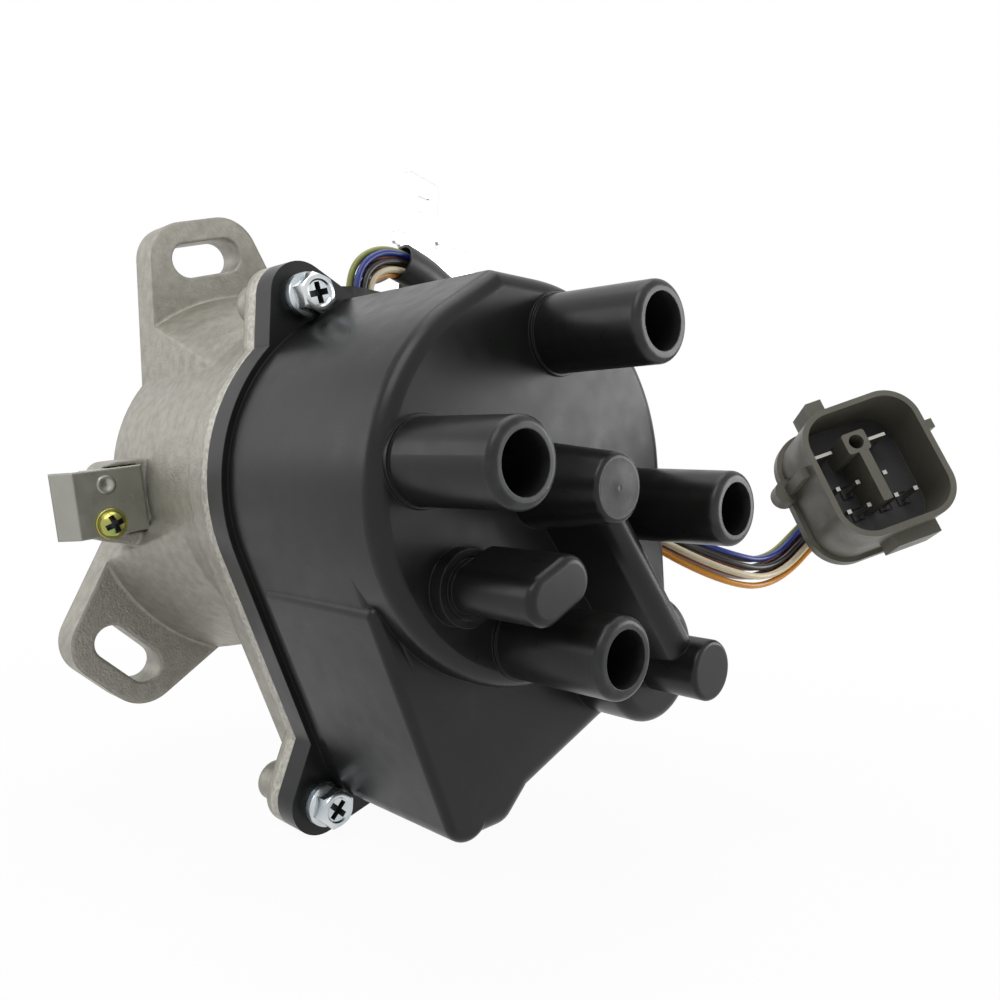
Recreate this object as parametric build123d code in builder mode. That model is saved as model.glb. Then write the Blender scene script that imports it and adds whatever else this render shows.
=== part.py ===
"""Ignition distributor with a built-in coil, for a four-cylinder engine.

Millimetres. The shaft lies along Y: the drive end points to +Y, the cap to -Y, and +Z is up.
The origin is the centre of the pilot spigot, in the plane where the mounting ears seat.
"Height" is the distance from that plane towards the cap, so height h lies at y = -h.
"""
import math
import os

from build123d import *

os.makedirs("parts", exist_ok=True)

# Casting
body_depth = 60.0
body_radius_front = 41.8
body_radius_rear = 39.6
body_wall = 3.4
floor_thickness = 5.0
rim_depth = 3.2
rim_radius = 42.9
lug_thickness = 5.0
coil_bay_depth = 11.0
pilot_radius = 18.5
pilot_length = 12.0

# Mounting ears
ear_thickness = 9.3
ear_angles = (109.3, 231.8, 351.0)
slot_circle = 61.0
slot_spread = 11.0
slot_radius = 4.4
ear_margin = 5.6
ear_root_radius = 33.5
ear_root_round = 6.0
ear_root_angle = 33.0
gusset_radius = 50.0
gusset_height = 42.0

# Cap
cap_wall = 2.6
drum_radius = 41.4
drum_height = 57.9
box_height = 50.0
boss_height = 64.0
flange_thickness = 6.5
flange_lip = 1.5
drum_round = 3.4
tower_count = 4
tower_circle = 31.0
tower_phase = -5.8
tower_radius = 8.0
tower_draft = 0.6
tower_bore = 5.47
tower_height = 84.1
tower_bore_depth = 24.0
post_height = 78.2
post_radius = 8.9
post_draft = 2.2
coil_post_radius = 6.6
coil_post = (34.2, -37.9)
coil_boss_radius = 14.0
rib_width = 7.6
rib_height = 74.6
box_corner = (-7.5, -67.6)
box_corner_radius = 6.0
vent_centre = (-20.5, -19.7)
vent_height = 81.0

# Cap screws
screw_places = ((-25.2, 39.6), (-15.1, -75.5), (45.1, 12.9))
lug_radius = 7.7
screw_radius = 2.5
screw_clearance = 0.25
screw_reach = 14.0
head_flats = 8.0
head_height = 4.6
washer_radius = 4.9
washer_thickness = 1.1
spring_washer_radius = 4.2
spring_washer_thickness = 1.4

# Shaft and drive
shaft_radius = 6.0
shaft_tail = 20.0
shaft_step_height = 50.0
stub_radius = 5.0
stub_top = 92.0
coupling_radius = 13.6
coupling_gap = 1.2
coupling_length = 9.8
dog_length = 5.0
dog_width = 5.4
dog_offset = 1.6
pin_radius = 2.0
fit_gap = 0.02
running_gap = 0.08

# Bearing and seal
bearing_width = 10.0
bearing_radius = 16.0
bearing_base = 3.0
ball_count = 8
ball_radius = 2.2
ball_circle = 11.0
seal_radius = 13.0
seal_depth = 6.0
o_ring_section = 1.6
o_ring_place = 6.2
o_ring_proud = 0.2
seal_lip_relief = 7.5
race_shoulder = 2.5

# Pulse wheels and pickups
crank_teeth = 24
crank_radius = 24.0
crank_height = 24.0
top_teeth = 4
top_radius = 20.0
top_height = 34.0
phase_radius = 20.0
phase_height = 44.0
wheel_thickness = 3.0
wheel_hub_radius = 8.6
air_gap = 0.6

# Rotor and contacts
rotor_base = 80.0
rotor_hub_radius = 10.0
rotor_hub_length = 18.0
rotor_arm_radius = 24.4
electrode_reach = 26.4
electrode_width = 7.0
electrode_thickness = 1.2
spark_gap = 0.9
segment_width = 7.0
brush_radius = 2.3
brush_length = 9.0
brush_lift = 0.35
brush_travel = 1.5

# Harness
wire_radius = 0.85
wire_pitch = 1.86
sleeve_inner = 4.2
sleeve_wall = 0.8
grommet_top = 46.0
grommet_size = (19.8, 15.4)
grommet_lip = 2.2
grommet_place = (2.0, 50.0)

# Connector
shell_size = (30.0, 33.4)
shell_round = 8.5
shell_wall = 1.4
shell_depth = 22.0
socket_depth = 14.5
shell_centre = (80.3, 151.2, 9.2)
shell_facing = (-0.684, -0.654, 0.323)
shell_side = (0.727, -0.578, 0.370)

# Brackets
sheet = 1.2
clip_height = 24.0
clip_size = (16.5, 16.0)
hanger_height = 42.0

# Worked out from the sizes above
drum_top = body_depth + drum_height
o_ring_circle = pilot_radius + o_ring_proud - o_ring_section / 2
o_ring_groove_floor = o_ring_circle - o_ring_section / 2
o_ring_groove_half = o_ring_section * 0.65
cap_inner_top = drum_top - cap_wall - 0.4
ear_radius = slot_radius + ear_margin
cavity_radius = body_radius_front - body_wall
flange_top = body_depth + flange_thickness
bay_floor = body_depth - coil_bay_depth + 3.0
drum_circle = (0.0, 0.0, drum_radius)
boss_circle = (*coil_post, coil_boss_radius)
corner_circle = (*box_corner, box_corner_radius)
body_circles = (drum_circle, boss_circle, corner_circle)
bulge_circles = (corner_circle, (1.0, -67.3, 5.5), (7.0, -64.0, 3.2))
lug_belts = (
    ((*screw_places[0], lug_radius), (-28.9, 28.2, 4.0), (-10.0, 36.0, 5.0)),
    ((*screw_places[1], lug_radius), (-13.5, -62.0, 5.0), (0.0, -71.6, 6.2)),
    ((*screw_places[2], lug_radius), (37.0, 19.0, 4.0), (39.5, 1.0, 3.0)),
)


def at_height(height, angle=0.0):
    """Plane square to the shaft at a height: normal -Y, its x turned from row X towards row Z."""
    turn = math.radians(angle)
    return Plane(origin=(0, -height, 0), x_dir=(math.cos(turn), 0, math.sin(turn)), z_dir=(0, -1, 0))


def belt(circles, grow=0.0, mode=Mode.ADD):
    """Outline of a belt round circles (x, y, radius), each radius larger by grow."""
    rounds = [Edge.make_circle(r + grow, Plane((x, y, 0))) for x, y, r in circles]
    return make_hull(rounds, mode=mode)


def body_outline(grow=0.0, bulge=True):
    """Outline of the drum, the coil box and its boss, drawn into the open sketch."""
    belt(body_circles, grow)
    if bulge:
        belt(bulge_circles, grow)


def lug_outlines(grow=0.0):
    """Outlines of the three screw lugs, drawn into the open sketch."""
    for circles in lug_belts:
        belt(circles, grow)


def turned(*points):
    """Closed profile through (radius, height) points, for a turn about the shaft."""
    with BuildSketch(Plane.XY, mode=Mode.PRIVATE) as profile:
        with BuildLine():
            Polyline([(r, -h) for r, h in points], close=True)
        make_face()
    return profile.sketch


def polar(radius, angle):
    """Point (x, z) on a circle round the shaft, angle in degrees from +X towards +Z."""
    return radius * math.cos(math.radians(angle)), radius * math.sin(math.radians(angle))


def rod(plane, radius, start, end, mode=Mode.ADD):
    """Round bar along a plane's normal, between two distances from the plane."""
    with BuildSketch(plane.offset(start), mode=Mode.PRIVATE) as section:
        Circle(radius)
    extrude(section.sketch, amount=end - start, mode=mode)


def spot(plane, x, y):
    """The same plane with its origin moved to a point of its own."""
    return Plane(origin=plane.from_local_coords((x, y, 0)), x_dir=plane.x_dir, z_dir=plane.z_dir)


def front_edges(body):
    """Edges of the face nearest the cap end."""
    return body.faces().sort_by(Axis.Y)[0].edges()


def finish(builder, name):
    """Label a finished piece and write it."""
    builder.part.label = name
    export_step(builder.part, f"parts/{name}.step")


# Housing casting
ear_circles = (
    (slot_circle, slot_spread / 2, ear_radius),
    (slot_circle, -slot_spread / 2, ear_radius),
    (*polar(ear_root_radius, ear_root_angle), ear_root_round),
    (*polar(ear_root_radius, -ear_root_angle), ear_root_round),
)
with BuildPart() as gusset_cone:
    revolve(turned((0, 0), (gusset_radius, 0), (gusset_radius, ear_thickness),
                   (body_radius_front - 1, gusset_height), (0, gusset_height)), axis=Axis.Y)

with BuildPart() as gussets:
    for ear_angle in ear_angles:
        with BuildSketch(at_height(0, ear_angle)):
            belt(ear_circles)
        extrude(amount=gusset_height)
    add(gusset_cone.part, mode=Mode.INTERSECT)

pickups = {
    "crank": (62.0, crank_radius, crank_height),
    "top": (172.0, top_radius, top_height),
    "phase": (268.0, phase_radius, phase_height),
}
seat_drop = 4.2
post_circle = 31.5
post_spread = 7.6
post_round = 3.6
small_screw = 1.5
small_head = 2.8
bearing_top = bearing_base + bearing_width
boss_radius = 22.0
retainer_circle = 18.9
step_height = body_depth - 4.0
step_radius = cavity_radius + 1.4
partition = 1.4
igniter_angle = 322.0
igniter_size = (24.0, 7.0, 22.0)
igniter_drop = 36.0
igniter_base = body_depth - igniter_drop
igniter_back = 35.5
igniter_lug = 4.0
igniter_turn = math.radians(igniter_angle)
igniter_face = Plane(origin=(0, 0, 0), x_dir=(0, -1, 0), z_dir=(math.cos(igniter_turn), 0, math.sin(igniter_turn)))
igniter_holes = (igniter_base - igniter_lug, igniter_base + igniter_size[2] + igniter_lug)

# Coil, set square to the box's lower wall
coil_angle = -63.5
coil_distance = 47.5
coil_shift = -16.0
core_width = 44.0
core_thickness = 12.0
core_limb = 8.0
core_base = bay_floor
core_height = 44.0
winding_size = (24.0, 27.4, 24.0)
coil_bolt = 2.0
coil_plane = at_height(core_base, coil_angle)
coil_bolts = [(coil_distance, coil_shift + side * (core_width - core_limb) / 2) for side in (-1, 1)]

# Clip bracket on the left side and hanger bracket on top
clip_tilt = math.radians(10)
clip_plane = Plane(origin=(-49, -clip_height, -8.2), x_dir=(math.cos(clip_tilt), 0, math.sin(clip_tilt)),
                   z_dir=(0, -1, 0))
clip_hole = (-0.8, -5.1)
clip_dimple = (-0.6, 4.2)
clip_boss = ((-48.9, -12.6, 5.2), (-47.0, -2.6, 4.0), (-38.0, -15.0, 4.0), (-38.0, -1.0, 4.0))
clip_boss_depth = 11.0
clip_screw_radius = 2.2
hanger_turn = math.radians(10)
hanger_plane = Plane(origin=(27, -hanger_height, 0), x_dir=(math.cos(hanger_turn), math.sin(hanger_turn), 0),
                     z_dir=(math.sin(hanger_turn), -math.cos(hanger_turn), 0))
hanger_hole = (-3.6, 40.7)
hanger_boss = ((*hanger_hole, 5.6), (-7.0, 31.0, 6.0))
hanger_boss_depth = 13.0
grommet_clearance = 0.1
grommet_depth = 17.8
grommet_floor = 40.0
clip_lips = ((1.0, 7.4, 12.5), (6.0, -7.4, 4.2))
clip_lip_depth = 3.4

with BuildPart() as housing:
    revolve(turned((0, -pilot_length), (pilot_radius - 1, -pilot_length), (pilot_radius, 1 - pilot_length),
                   (pilot_radius, 0), (body_radius_rear, 0), (body_radius_front, body_depth - rim_depth),
                   (rim_radius, body_depth - rim_depth + 0.6), (rim_radius, body_depth), (0, body_depth)),
            axis=Axis.Y)
    with BuildSketch(at_height(body_depth - coil_bay_depth)):
        body_outline(flange_lip - 1.0, bulge=False)
    extrude(amount=coil_bay_depth - rim_depth)
    with BuildSketch(at_height(body_depth - rim_depth)):
        body_outline(flange_lip)
    extrude(amount=rim_depth)
    with BuildSketch(at_height(body_depth - lug_thickness)):
        lug_outlines()
    extrude(amount=lug_thickness)
    with BuildSketch(at_height(body_depth - screw_reach)):
        with Locations(*screw_places):
            Circle(screw_radius + 2.4)
    extrude(amount=screw_reach)
    for ear_angle in ear_angles:
        with BuildSketch(at_height(0, ear_angle)):
            belt(ear_circles)
        extrude(amount=ear_thickness)
    add(gussets.part)
    with BuildSketch(at_height(clip_height - sheet)):
        belt(clip_boss)
    extrude(amount=-clip_boss_depth)
    with BuildSketch(hanger_plane.offset(-sheet)):
        belt(hanger_boss)
    extrude(amount=-hanger_boss_depth)
    with BuildSketch(at_height(body_depth - coil_bay_depth, coil_angle)):
        with Locations(*coil_bolts):
            Circle(coil_bolt + 2.2)
    extrude(amount=-5.0)
    # Bowl, bearing and seal bores in one turn
    revolve(turned((0, -pilot_length - 1), (seal_radius, -pilot_length - 1),
                   (seal_radius, 0.5 + seal_depth - pilot_length),
                   (bearing_radius - seal_lip_relief, 0.5 + seal_depth - pilot_length),
                   (bearing_radius - seal_lip_relief, bearing_base - 1),
                   (bearing_radius - race_shoulder, bearing_base - 1), (bearing_radius - race_shoulder, bearing_base),
                   (bearing_radius, bearing_base), (bearing_radius, bearing_top), (boss_radius, bearing_top),
                   (boss_radius, floor_thickness), (cavity_radius, floor_thickness),
                   (cavity_radius, step_height), (step_radius, step_height), (step_radius, body_depth + 1),
                   (0, body_depth + 1)), axis=Axis.Y, mode=Mode.SUBTRACT)
    revolve(turned((o_ring_groove_floor, -o_ring_place - o_ring_groove_half),
                   (pilot_radius + 1, -o_ring_place - o_ring_groove_half),
                   (pilot_radius + 1, -o_ring_place + o_ring_groove_half),
                   (o_ring_groove_floor, -o_ring_place + o_ring_groove_half)),
            axis=Axis.Y, mode=Mode.SUBTRACT)
    # Coil bay
    with BuildSketch(at_height(bay_floor)):
        body_outline(-cap_wall, bulge=False)
        Circle(step_radius + partition, mode=Mode.SUBTRACT)
    extrude(amount=coil_bay_depth, mode=Mode.SUBTRACT)
    # Slots, screw holes and the harness notch
    for ear_angle in ear_angles:
        with BuildSketch(at_height(-1, ear_angle)):
            with Locations((slot_circle, 0)):
                SlotCenterToCenter(slot_spread, 2 * slot_radius, rotation=90)
        extrude(amount=ear_thickness + 2, mode=Mode.SUBTRACT)
    with BuildSketch(at_height(body_depth - screw_reach + 2)):
        with Locations(*screw_places):
            Circle(screw_radius + fit_gap)
    extrude(amount=screw_reach, mode=Mode.SUBTRACT)
    rod(spot(clip_plane, *clip_hole), clip_screw_radius + fit_gap, -10, 1, mode=Mode.SUBTRACT)
    rod(spot(hanger_plane, *hanger_hole), clip_screw_radius + fit_gap, -11, 1, mode=Mode.SUBTRACT)
    with BuildSketch(at_height(body_depth - grommet_depth)):
        with Locations((grommet_place[0], cavity_radius)):
            Rectangle(grommet_size[0] + 2 * grommet_clearance, 12)
    extrude(amount=grommet_depth + 1, mode=Mode.SUBTRACT)
    # Relief behind the clip bracket's lips
    for x, y, width in clip_lips:
        with BuildSketch(clip_plane):
            with Locations((x, y)):
                Rectangle(width + 0.6, sheet + 0.6)
        extrude(amount=-clip_lip_depth - 0.3, mode=Mode.SUBTRACT)
    # Pickup posts, igniter pad and bearing retainer holes
    for angle, reach, wheel_height in pickups.values():
        with BuildSketch(at_height(floor_thickness - 1, angle)):
            with Locations((post_circle, -post_spread), (post_circle, post_spread)):
                Circle(post_round)
        extrude(amount=wheel_height - seat_drop - floor_thickness + 1)
        with BuildSketch(at_height(wheel_height - seat_drop - 6, angle)):
            with Locations((post_circle, -post_spread), (post_circle, post_spread)):
                Circle(small_screw + fit_gap)
        extrude(amount=7, mode=Mode.SUBTRACT)
    with BuildSketch(at_height(floor_thickness - 1, igniter_angle)):
        with Locations((igniter_back + 1.6, 0)):
            Rectangle(3.2, igniter_size[0] - 2)
    extrude(amount=igniter_base + igniter_size[2] + 2 * igniter_lug - floor_thickness + 1)
    for hole in igniter_holes:
        rod(spot(igniter_face, hole, 0), small_screw + fit_gap, igniter_back - 1, igniter_back + 3, mode=Mode.SUBTRACT)
    with BuildSketch(at_height(bearing_top - 6)):
        with PolarLocations(retainer_circle, 2, start_angle=90):
            Circle(small_screw + fit_gap)
    extrude(amount=7, mode=Mode.SUBTRACT)
    with BuildSketch(at_height(body_depth - coil_bay_depth - 4.5, coil_angle)):
        with Locations(*coil_bolts):
            Circle(coil_bolt + fit_gap)
    extrude(amount=8, mode=Mode.SUBTRACT)
finish(housing, "housing")

with BuildPart() as o_ring:
    with BuildSketch(Plane.XY):
        with Locations((o_ring_circle, o_ring_place)):
            Circle(o_ring_section / 2)
    revolve(axis=Axis.Y)
finish(o_ring, "o_ring")

# Shaft, bearing and coupling
washer_top = -pilot_length - running_gap
coupling_top = -pilot_length - coupling_gap
coupling_end = coupling_top - coupling_length
pin_height = coupling_top - coupling_length / 2 + 0.6

with BuildPart() as drive_shaft:
    revolve(turned((0, -shaft_tail), (shaft_radius - 0.8, -shaft_tail), (shaft_radius, 0.8 - shaft_tail),
                   (shaft_radius, shaft_step_height), (stub_radius, shaft_step_height),
                   (stub_radius, stub_top - 0.6), (stub_radius - 0.6, stub_top), (0, stub_top)), axis=Axis.Y)
    rod(Plane(origin=(0, -pin_height, 0), x_dir=(0, 1, 0), z_dir=(1, 0, 0)), pin_radius + fit_gap,
        -coupling_radius, coupling_radius, mode=Mode.SUBTRACT)
finish(drive_shaft, "drive_shaft")

with BuildPart() as thrust_washer:
    revolve(turned((shaft_radius + fit_gap, coupling_top), (shaft_radius + 4, coupling_top),
                   (shaft_radius + 4, washer_top), (shaft_radius + fit_gap, washer_top)), axis=Axis.Y)
finish(thrust_washer, "thrust_washer")

clip_ring_width = 1.2
clip_ring_depth = 1.0
with BuildPart() as drive_coupling:
    revolve(turned((shaft_radius + fit_gap, coupling_end - dog_length), (coupling_radius, coupling_end - dog_length),
                   (coupling_radius, coupling_top - 0.6), (coupling_radius - 0.6, coupling_top),
                   (shaft_radius + fit_gap, coupling_top)), axis=Axis.Y)
    # The end is milled away on both sides of the two offset dogs
    with BuildSketch(at_height(coupling_end)):
        Circle(coupling_radius + 1)
        with Locations((0, dog_offset)):
            Rectangle(2 * coupling_radius, dog_width, mode=Mode.SUBTRACT)
    extrude(amount=-dog_length - 1, mode=Mode.SUBTRACT)
    rod(at_height(coupling_end), shaft_radius + 1.6, 0, -dog_length - 1, mode=Mode.SUBTRACT)
    rod(Plane(origin=(0, -pin_height, 0), x_dir=(0, 1, 0), z_dir=(1, 0, 0)), pin_radius + fit_gap,
        -coupling_radius - 1, coupling_radius + 1, mode=Mode.SUBTRACT)
    with BuildSketch(at_height(pin_height - clip_ring_width / 2 - fit_gap)):
        Circle(coupling_radius + 1)
        Circle(coupling_radius - clip_ring_depth, mode=Mode.SUBTRACT)
    extrude(amount=clip_ring_width + 2 * fit_gap, mode=Mode.SUBTRACT)
finish(drive_coupling, "drive_coupling")

with BuildPart() as coupling_pin:
    rod(Plane(origin=(0, -pin_height, 0), x_dir=(0, 1, 0), z_dir=(1, 0, 0)), pin_radius,
        0.4 + clip_ring_depth - coupling_radius, coupling_radius - clip_ring_depth - 0.4)
finish(coupling_pin, "coupling_pin")

with BuildPart() as coupling_clip:
    with BuildSketch(at_height(pin_height - clip_ring_width / 2)):
        Circle(coupling_radius + 0.2)
        Circle(coupling_radius - clip_ring_depth + fit_gap, mode=Mode.SUBTRACT)
        with Locations((0, coupling_radius)):
            Rectangle(5, 6, mode=Mode.SUBTRACT)
    extrude(amount=clip_ring_width)
finish(coupling_clip, "coupling_clip")

race_groove = ball_radius + running_gap
race_centre = bearing_base + bearing_width / 2
race_land = 1.4
with BuildPart() as bearing_outer_race:
    with BuildSketch(Plane.XY):
        with Locations((ball_circle + race_land, -race_centre)):
            Rectangle(bearing_radius - ball_circle - race_land, bearing_width, align=(Align.MIN, Align.CENTER))
        with Locations((ball_circle, -race_centre)):
            Circle(race_groove, mode=Mode.SUBTRACT)
    revolve(axis=Axis.Y)
finish(bearing_outer_race, "bearing_outer_race")

with BuildPart() as bearing_inner_race:
    with BuildSketch(Plane.XY):
        with Locations((ball_circle - race_land, -race_centre)):
            Rectangle(ball_circle - race_land - shaft_radius - fit_gap, bearing_width,
                      align=(Align.MAX, Align.CENTER))
        with Locations((ball_circle, -race_centre)):
            Circle(race_groove, mode=Mode.SUBTRACT)
    revolve(axis=Axis.Y)
finish(bearing_inner_race, "bearing_inner_race")

cage_half = 2.7
cage_gap = 0.35
with BuildPart() as bearing_cage:
    with BuildSketch(at_height(race_centre - cage_half)):
        Circle(ball_circle + race_land - cage_gap)
        Circle(ball_circle - race_land + cage_gap, mode=Mode.SUBTRACT)
    extrude(amount=2 * cage_half)
    for index in range(ball_count):
        pocket_angle = math.radians(index * 360 / ball_count)
        rod(Plane(origin=(0, -race_centre, 0), x_dir=(0, 1, 0),
                  z_dir=(math.cos(pocket_angle), 0, math.sin(pocket_angle))),
            ball_radius + fit_gap, ball_circle - race_land, ball_circle + race_land, mode=Mode.SUBTRACT)
finish(bearing_cage, "bearing_cage")

with BuildPart() as bearing_balls:
    with Locations(at_height(race_centre)):
        with PolarLocations(ball_circle, ball_count):
            Sphere(ball_radius)
finish(bearing_balls, "bearing_balls")

retainer_thickness = 1.2
with BuildPart() as bearing_retainer:
    with BuildSketch(at_height(bearing_top)):
        Circle(boss_radius - 0.6)
        Circle(ball_circle + race_land + 0.6, mode=Mode.SUBTRACT)
        with PolarLocations(retainer_circle, 2, start_angle=90):
            Circle(small_screw + 0.2, mode=Mode.SUBTRACT)
    extrude(amount=retainer_thickness)
finish(bearing_retainer, "bearing_retainer")

with BuildPart() as retainer_screws:
    for x, z in (polar(retainer_circle, 90), polar(retainer_circle, 270)):
        place = spot(at_height(bearing_top + retainer_thickness), x, z)
        rod(place, small_screw, -6, 0)
        rod(place, small_head, 0, 1.8)
finish(retainer_screws, "retainer_screws")

with BuildPart() as oil_seal:
    revolve(turned((seal_radius, -pilot_length + 0.4), (seal_radius, seal_depth - pilot_length + 0.4),
                   (shaft_radius + 2.2, seal_depth - pilot_length + 0.4),
                   (shaft_radius + running_gap, 2.6 - pilot_length), (shaft_radius + running_gap, 2.0 - pilot_length),
                   (shaft_radius + 1.6, 0.4 - pilot_length)), axis=Axis.Y)
finish(oil_seal, "oil_seal")


def pulse_wheel(teeth, radius, height, hub_base, hub_top, tooth_width):
    """Toothed wheel with its hub, bored for the shaft, drawn into the open part."""
    root = radius - 2.4
    with BuildSketch(at_height(height), mode=Mode.PRIVATE) as disc:
        Circle(root)
        with PolarLocations(radius - 2.4, teeth):
            Rectangle(4.8, tooth_width)
    extrude(disc.sketch, amount=wheel_thickness)
    rod(at_height(0), wheel_hub_radius, hub_base, hub_top)
    rod(at_height(0), shaft_radius + fit_gap, hub_base - 1, hub_top + 1, mode=Mode.SUBTRACT)


wheel_gap = (top_height - crank_height - wheel_thickness) / 2
hub_stations = (bearing_top, crank_height + wheel_thickness + wheel_gap,
                top_height + wheel_thickness + wheel_gap, shaft_step_height)
with BuildPart() as crank_wheel:
    pulse_wheel(crank_teeth, crank_radius, crank_height, hub_stations[0], hub_stations[1], 3.1)
finish(crank_wheel, "crank_wheel")

with BuildPart() as top_wheel:
    pulse_wheel(top_teeth, top_radius, top_height, hub_stations[1], hub_stations[2], 5.0)
finish(top_wheel, "top_wheel")

with BuildPart() as phase_wheel:
    pulse_wheel(1, phase_radius, phase_height, hub_stations[2], hub_stations[3], 8.0)
finish(phase_wheel, "phase_wheel")

pickup_plate = (10.0, 22.0, 2.0)
pickup_reach = 35.4
bobbin_radius = 5.0
for pickup_name, (angle, reach, wheel_height) in pickups.items():
    seat = wheel_height - seat_drop
    with BuildPart() as pickup:
        with BuildSketch(at_height(seat, angle)):
            with Locations((post_circle - 0.6, 0)):
                RectangleRounded(pickup_plate[0], pickup_plate[1], 3)
            with Locations((post_circle, -post_spread), (post_circle, post_spread)):
                Circle(small_screw + 0.2, mode=Mode.SUBTRACT)
        extrude(amount=pickup_plate[2])
        turn = math.radians(angle)
        radial = Plane(origin=(0, -wheel_height - wheel_thickness / 2, 0), x_dir=(0, 1, 0),
                       z_dir=(math.cos(turn), 0, math.sin(turn)))
        rod(radial, bobbin_radius, reach + 3, pickup_reach)
        with BuildSketch(radial.offset(reach + air_gap)):
            Rectangle(2.4, 3.0)
        extrude(amount=3)
    finish(pickup, f"{pickup_name}_pickup")

with BuildPart() as pickup_screws:
    for angle, reach, wheel_height in pickups.values():
        for side in (-post_spread, post_spread):
            place = spot(at_height(wheel_height - seat_drop + pickup_plate[2], angle), post_circle, side)
            rod(place, small_screw, -7, 0)
            rod(place, small_head, 0, 1.6)
finish(pickup_screws, "pickup_screws")

igniter_centre = igniter_back - igniter_size[1] / 2
with BuildPart() as igniter_module:
    with BuildSketch(at_height(igniter_base, igniter_angle)):
        with Locations((igniter_centre, 0)):
            RectangleRounded(igniter_size[1], igniter_size[0], 1.2)
    extrude(amount=igniter_size[2])
    with BuildSketch(igniter_face.offset(igniter_back)):
        with Locations((igniter_base + igniter_size[2] / 2, 0)):
            SlotCenterToCenter(igniter_size[2] + 2 * igniter_lug, 2 * (small_head + 0.6))
        with Locations((igniter_holes[0], 0), (igniter_holes[1], 0)):
            Circle(small_screw + 0.2, mode=Mode.SUBTRACT)
    extrude(amount=-2.0)
finish(igniter_module, "igniter_module")

with BuildPart() as igniter_screws:
    for hole in igniter_holes:
        place = spot(igniter_face, hole, 0)
        rod(place, small_screw, igniter_back - 2, igniter_back + 2.6)
        rod(place, small_head, igniter_back - 3.6, igniter_back - 2)
finish(igniter_screws, "igniter_screws")

# Coil
with BuildPart() as coil_core:
    with BuildSketch(coil_plane):
        with Locations((coil_distance, coil_shift)):
            Rectangle(core_thickness, core_width)
    extrude(amount=core_height)
    window = (core_width - 3 * core_limb - 2) / 2
    with BuildSketch(coil_plane.offset(core_limb)):
        with Locations((coil_distance, coil_shift - window / 2 - core_limb / 2 - 1),
                       (coil_distance, coil_shift + window / 2 + core_limb / 2 + 1)):
            Rectangle(core_thickness + 1, window)
    extrude(amount=core_height - 2 * core_limb, mode=Mode.SUBTRACT)
    with BuildSketch(coil_plane):
        with Locations(*coil_bolts):
            Circle(coil_bolt + 0.15)
    extrude(amount=core_height, mode=Mode.SUBTRACT)
finish(coil_core, "coil_core")

winding_base = (core_height - winding_size[2]) / 2
winding_gap = 0.1
coil_tower_place = coil_plane.to_local_coords(Vector(coil_post[0], -core_base, coil_post[1]))
coil_tower_radius = 6.5
coil_tower_top = 100.0
coil_tower_base = winding_base + 4
coil_arm_width = 5.8
with BuildPart() as coil_winding:
    with BuildSketch(coil_plane.offset(winding_base)):
        with Locations((coil_distance, coil_shift)):
            RectangleRounded(winding_size[0], winding_size[1], 4)
            Rectangle(core_thickness + 2 * winding_gap, core_limb + 2 + 2 * winding_gap, mode=Mode.SUBTRACT)
    extrude(amount=winding_size[2])
    arm_start = coil_distance + core_thickness / 2 + winding_gap
    arm_length = coil_tower_place.Y - coil_shift
    with BuildSketch(coil_plane.offset(coil_tower_base)):
        with Locations((arm_start + coil_arm_width / 2, coil_shift + arm_length / 2)):
            Rectangle(coil_arm_width, arm_length)
    extrude(amount=winding_size[2] - 8)
    tower_place = spot(coil_plane, coil_tower_place.X, coil_tower_place.Y)
    rod(tower_place, coil_tower_radius, coil_tower_base, coil_tower_top - core_base)
    rod(tower_place, coil_bolt + fit_gap, coil_tower_top - core_base - 10, coil_tower_top - core_base + 1,
        mode=Mode.SUBTRACT)
finish(coil_winding, "coil_winding")

with BuildPart() as coil_screws:
    for bolt_place in coil_bolts:
        place = spot(coil_plane, *bolt_place)
        rod(place, coil_bolt, -6, core_height)
        rod(place, coil_bolt + 1.6, core_height, core_height + 2.6)
finish(coil_screws, "coil_screws")

boss_ceiling = body_depth + boss_height - cap_wall - 0.4
with BuildPart() as coil_contact:
    contact_place = spot(at_height(0), *coil_post)
    rod(contact_place, coil_bolt, coil_tower_top - 9, boss_ceiling)
    rod(contact_place, coil_bolt + 1.4, boss_ceiling - 2, boss_ceiling)
finish(coil_contact, "coil_contact")

cover_fit = 0.3
with BuildPart() as dust_cover:
    revolve(turned((stub_radius + 4, step_height), (step_radius - cover_fit, step_height),
                   (step_radius - cover_fit, step_height + 2.2), (stub_radius + 6, step_height + 2.2),
                   (stub_radius + 6, step_height + 4), (stub_radius + 4, step_height + 4)), axis=Axis.Y)
finish(dust_cover, "dust_cover")

# Rotor and brush
rotor_angle = tower_phase
rotor_top = rotor_base + rotor_hub_length
electrode_base = rotor_top + 2.0
electrode_top = electrode_base + electrode_thickness
rotor_screw_height = rotor_base + 6.0
rotor_radial = Plane(origin=(0, -rotor_screw_height, 0), x_dir=(0, 1, 0),
                     z_dir=(-math.cos(math.radians(rotor_angle)), 0, -math.sin(math.radians(rotor_angle))))
with BuildPart() as rotor:
    rod(at_height(0), rotor_hub_radius, rotor_base, rotor_top)
    with BuildSketch(at_height(rotor_top - 6, rotor_angle)):
        belt(((0, 0, rotor_hub_radius), (rotor_arm_radius - 4.5, 0, 4.5), (-11.5, 0, 6)))
    extrude(amount=electrode_base - rotor_top + 6)
    rod(at_height(0), stub_radius + fit_gap, rotor_base - 1, stub_top + 0.2, mode=Mode.SUBTRACT)
    rod(rotor_radial, small_screw + fit_gap, stub_radius - 1, rotor_hub_radius + 1, mode=Mode.SUBTRACT)
finish(rotor, "rotor")

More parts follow.
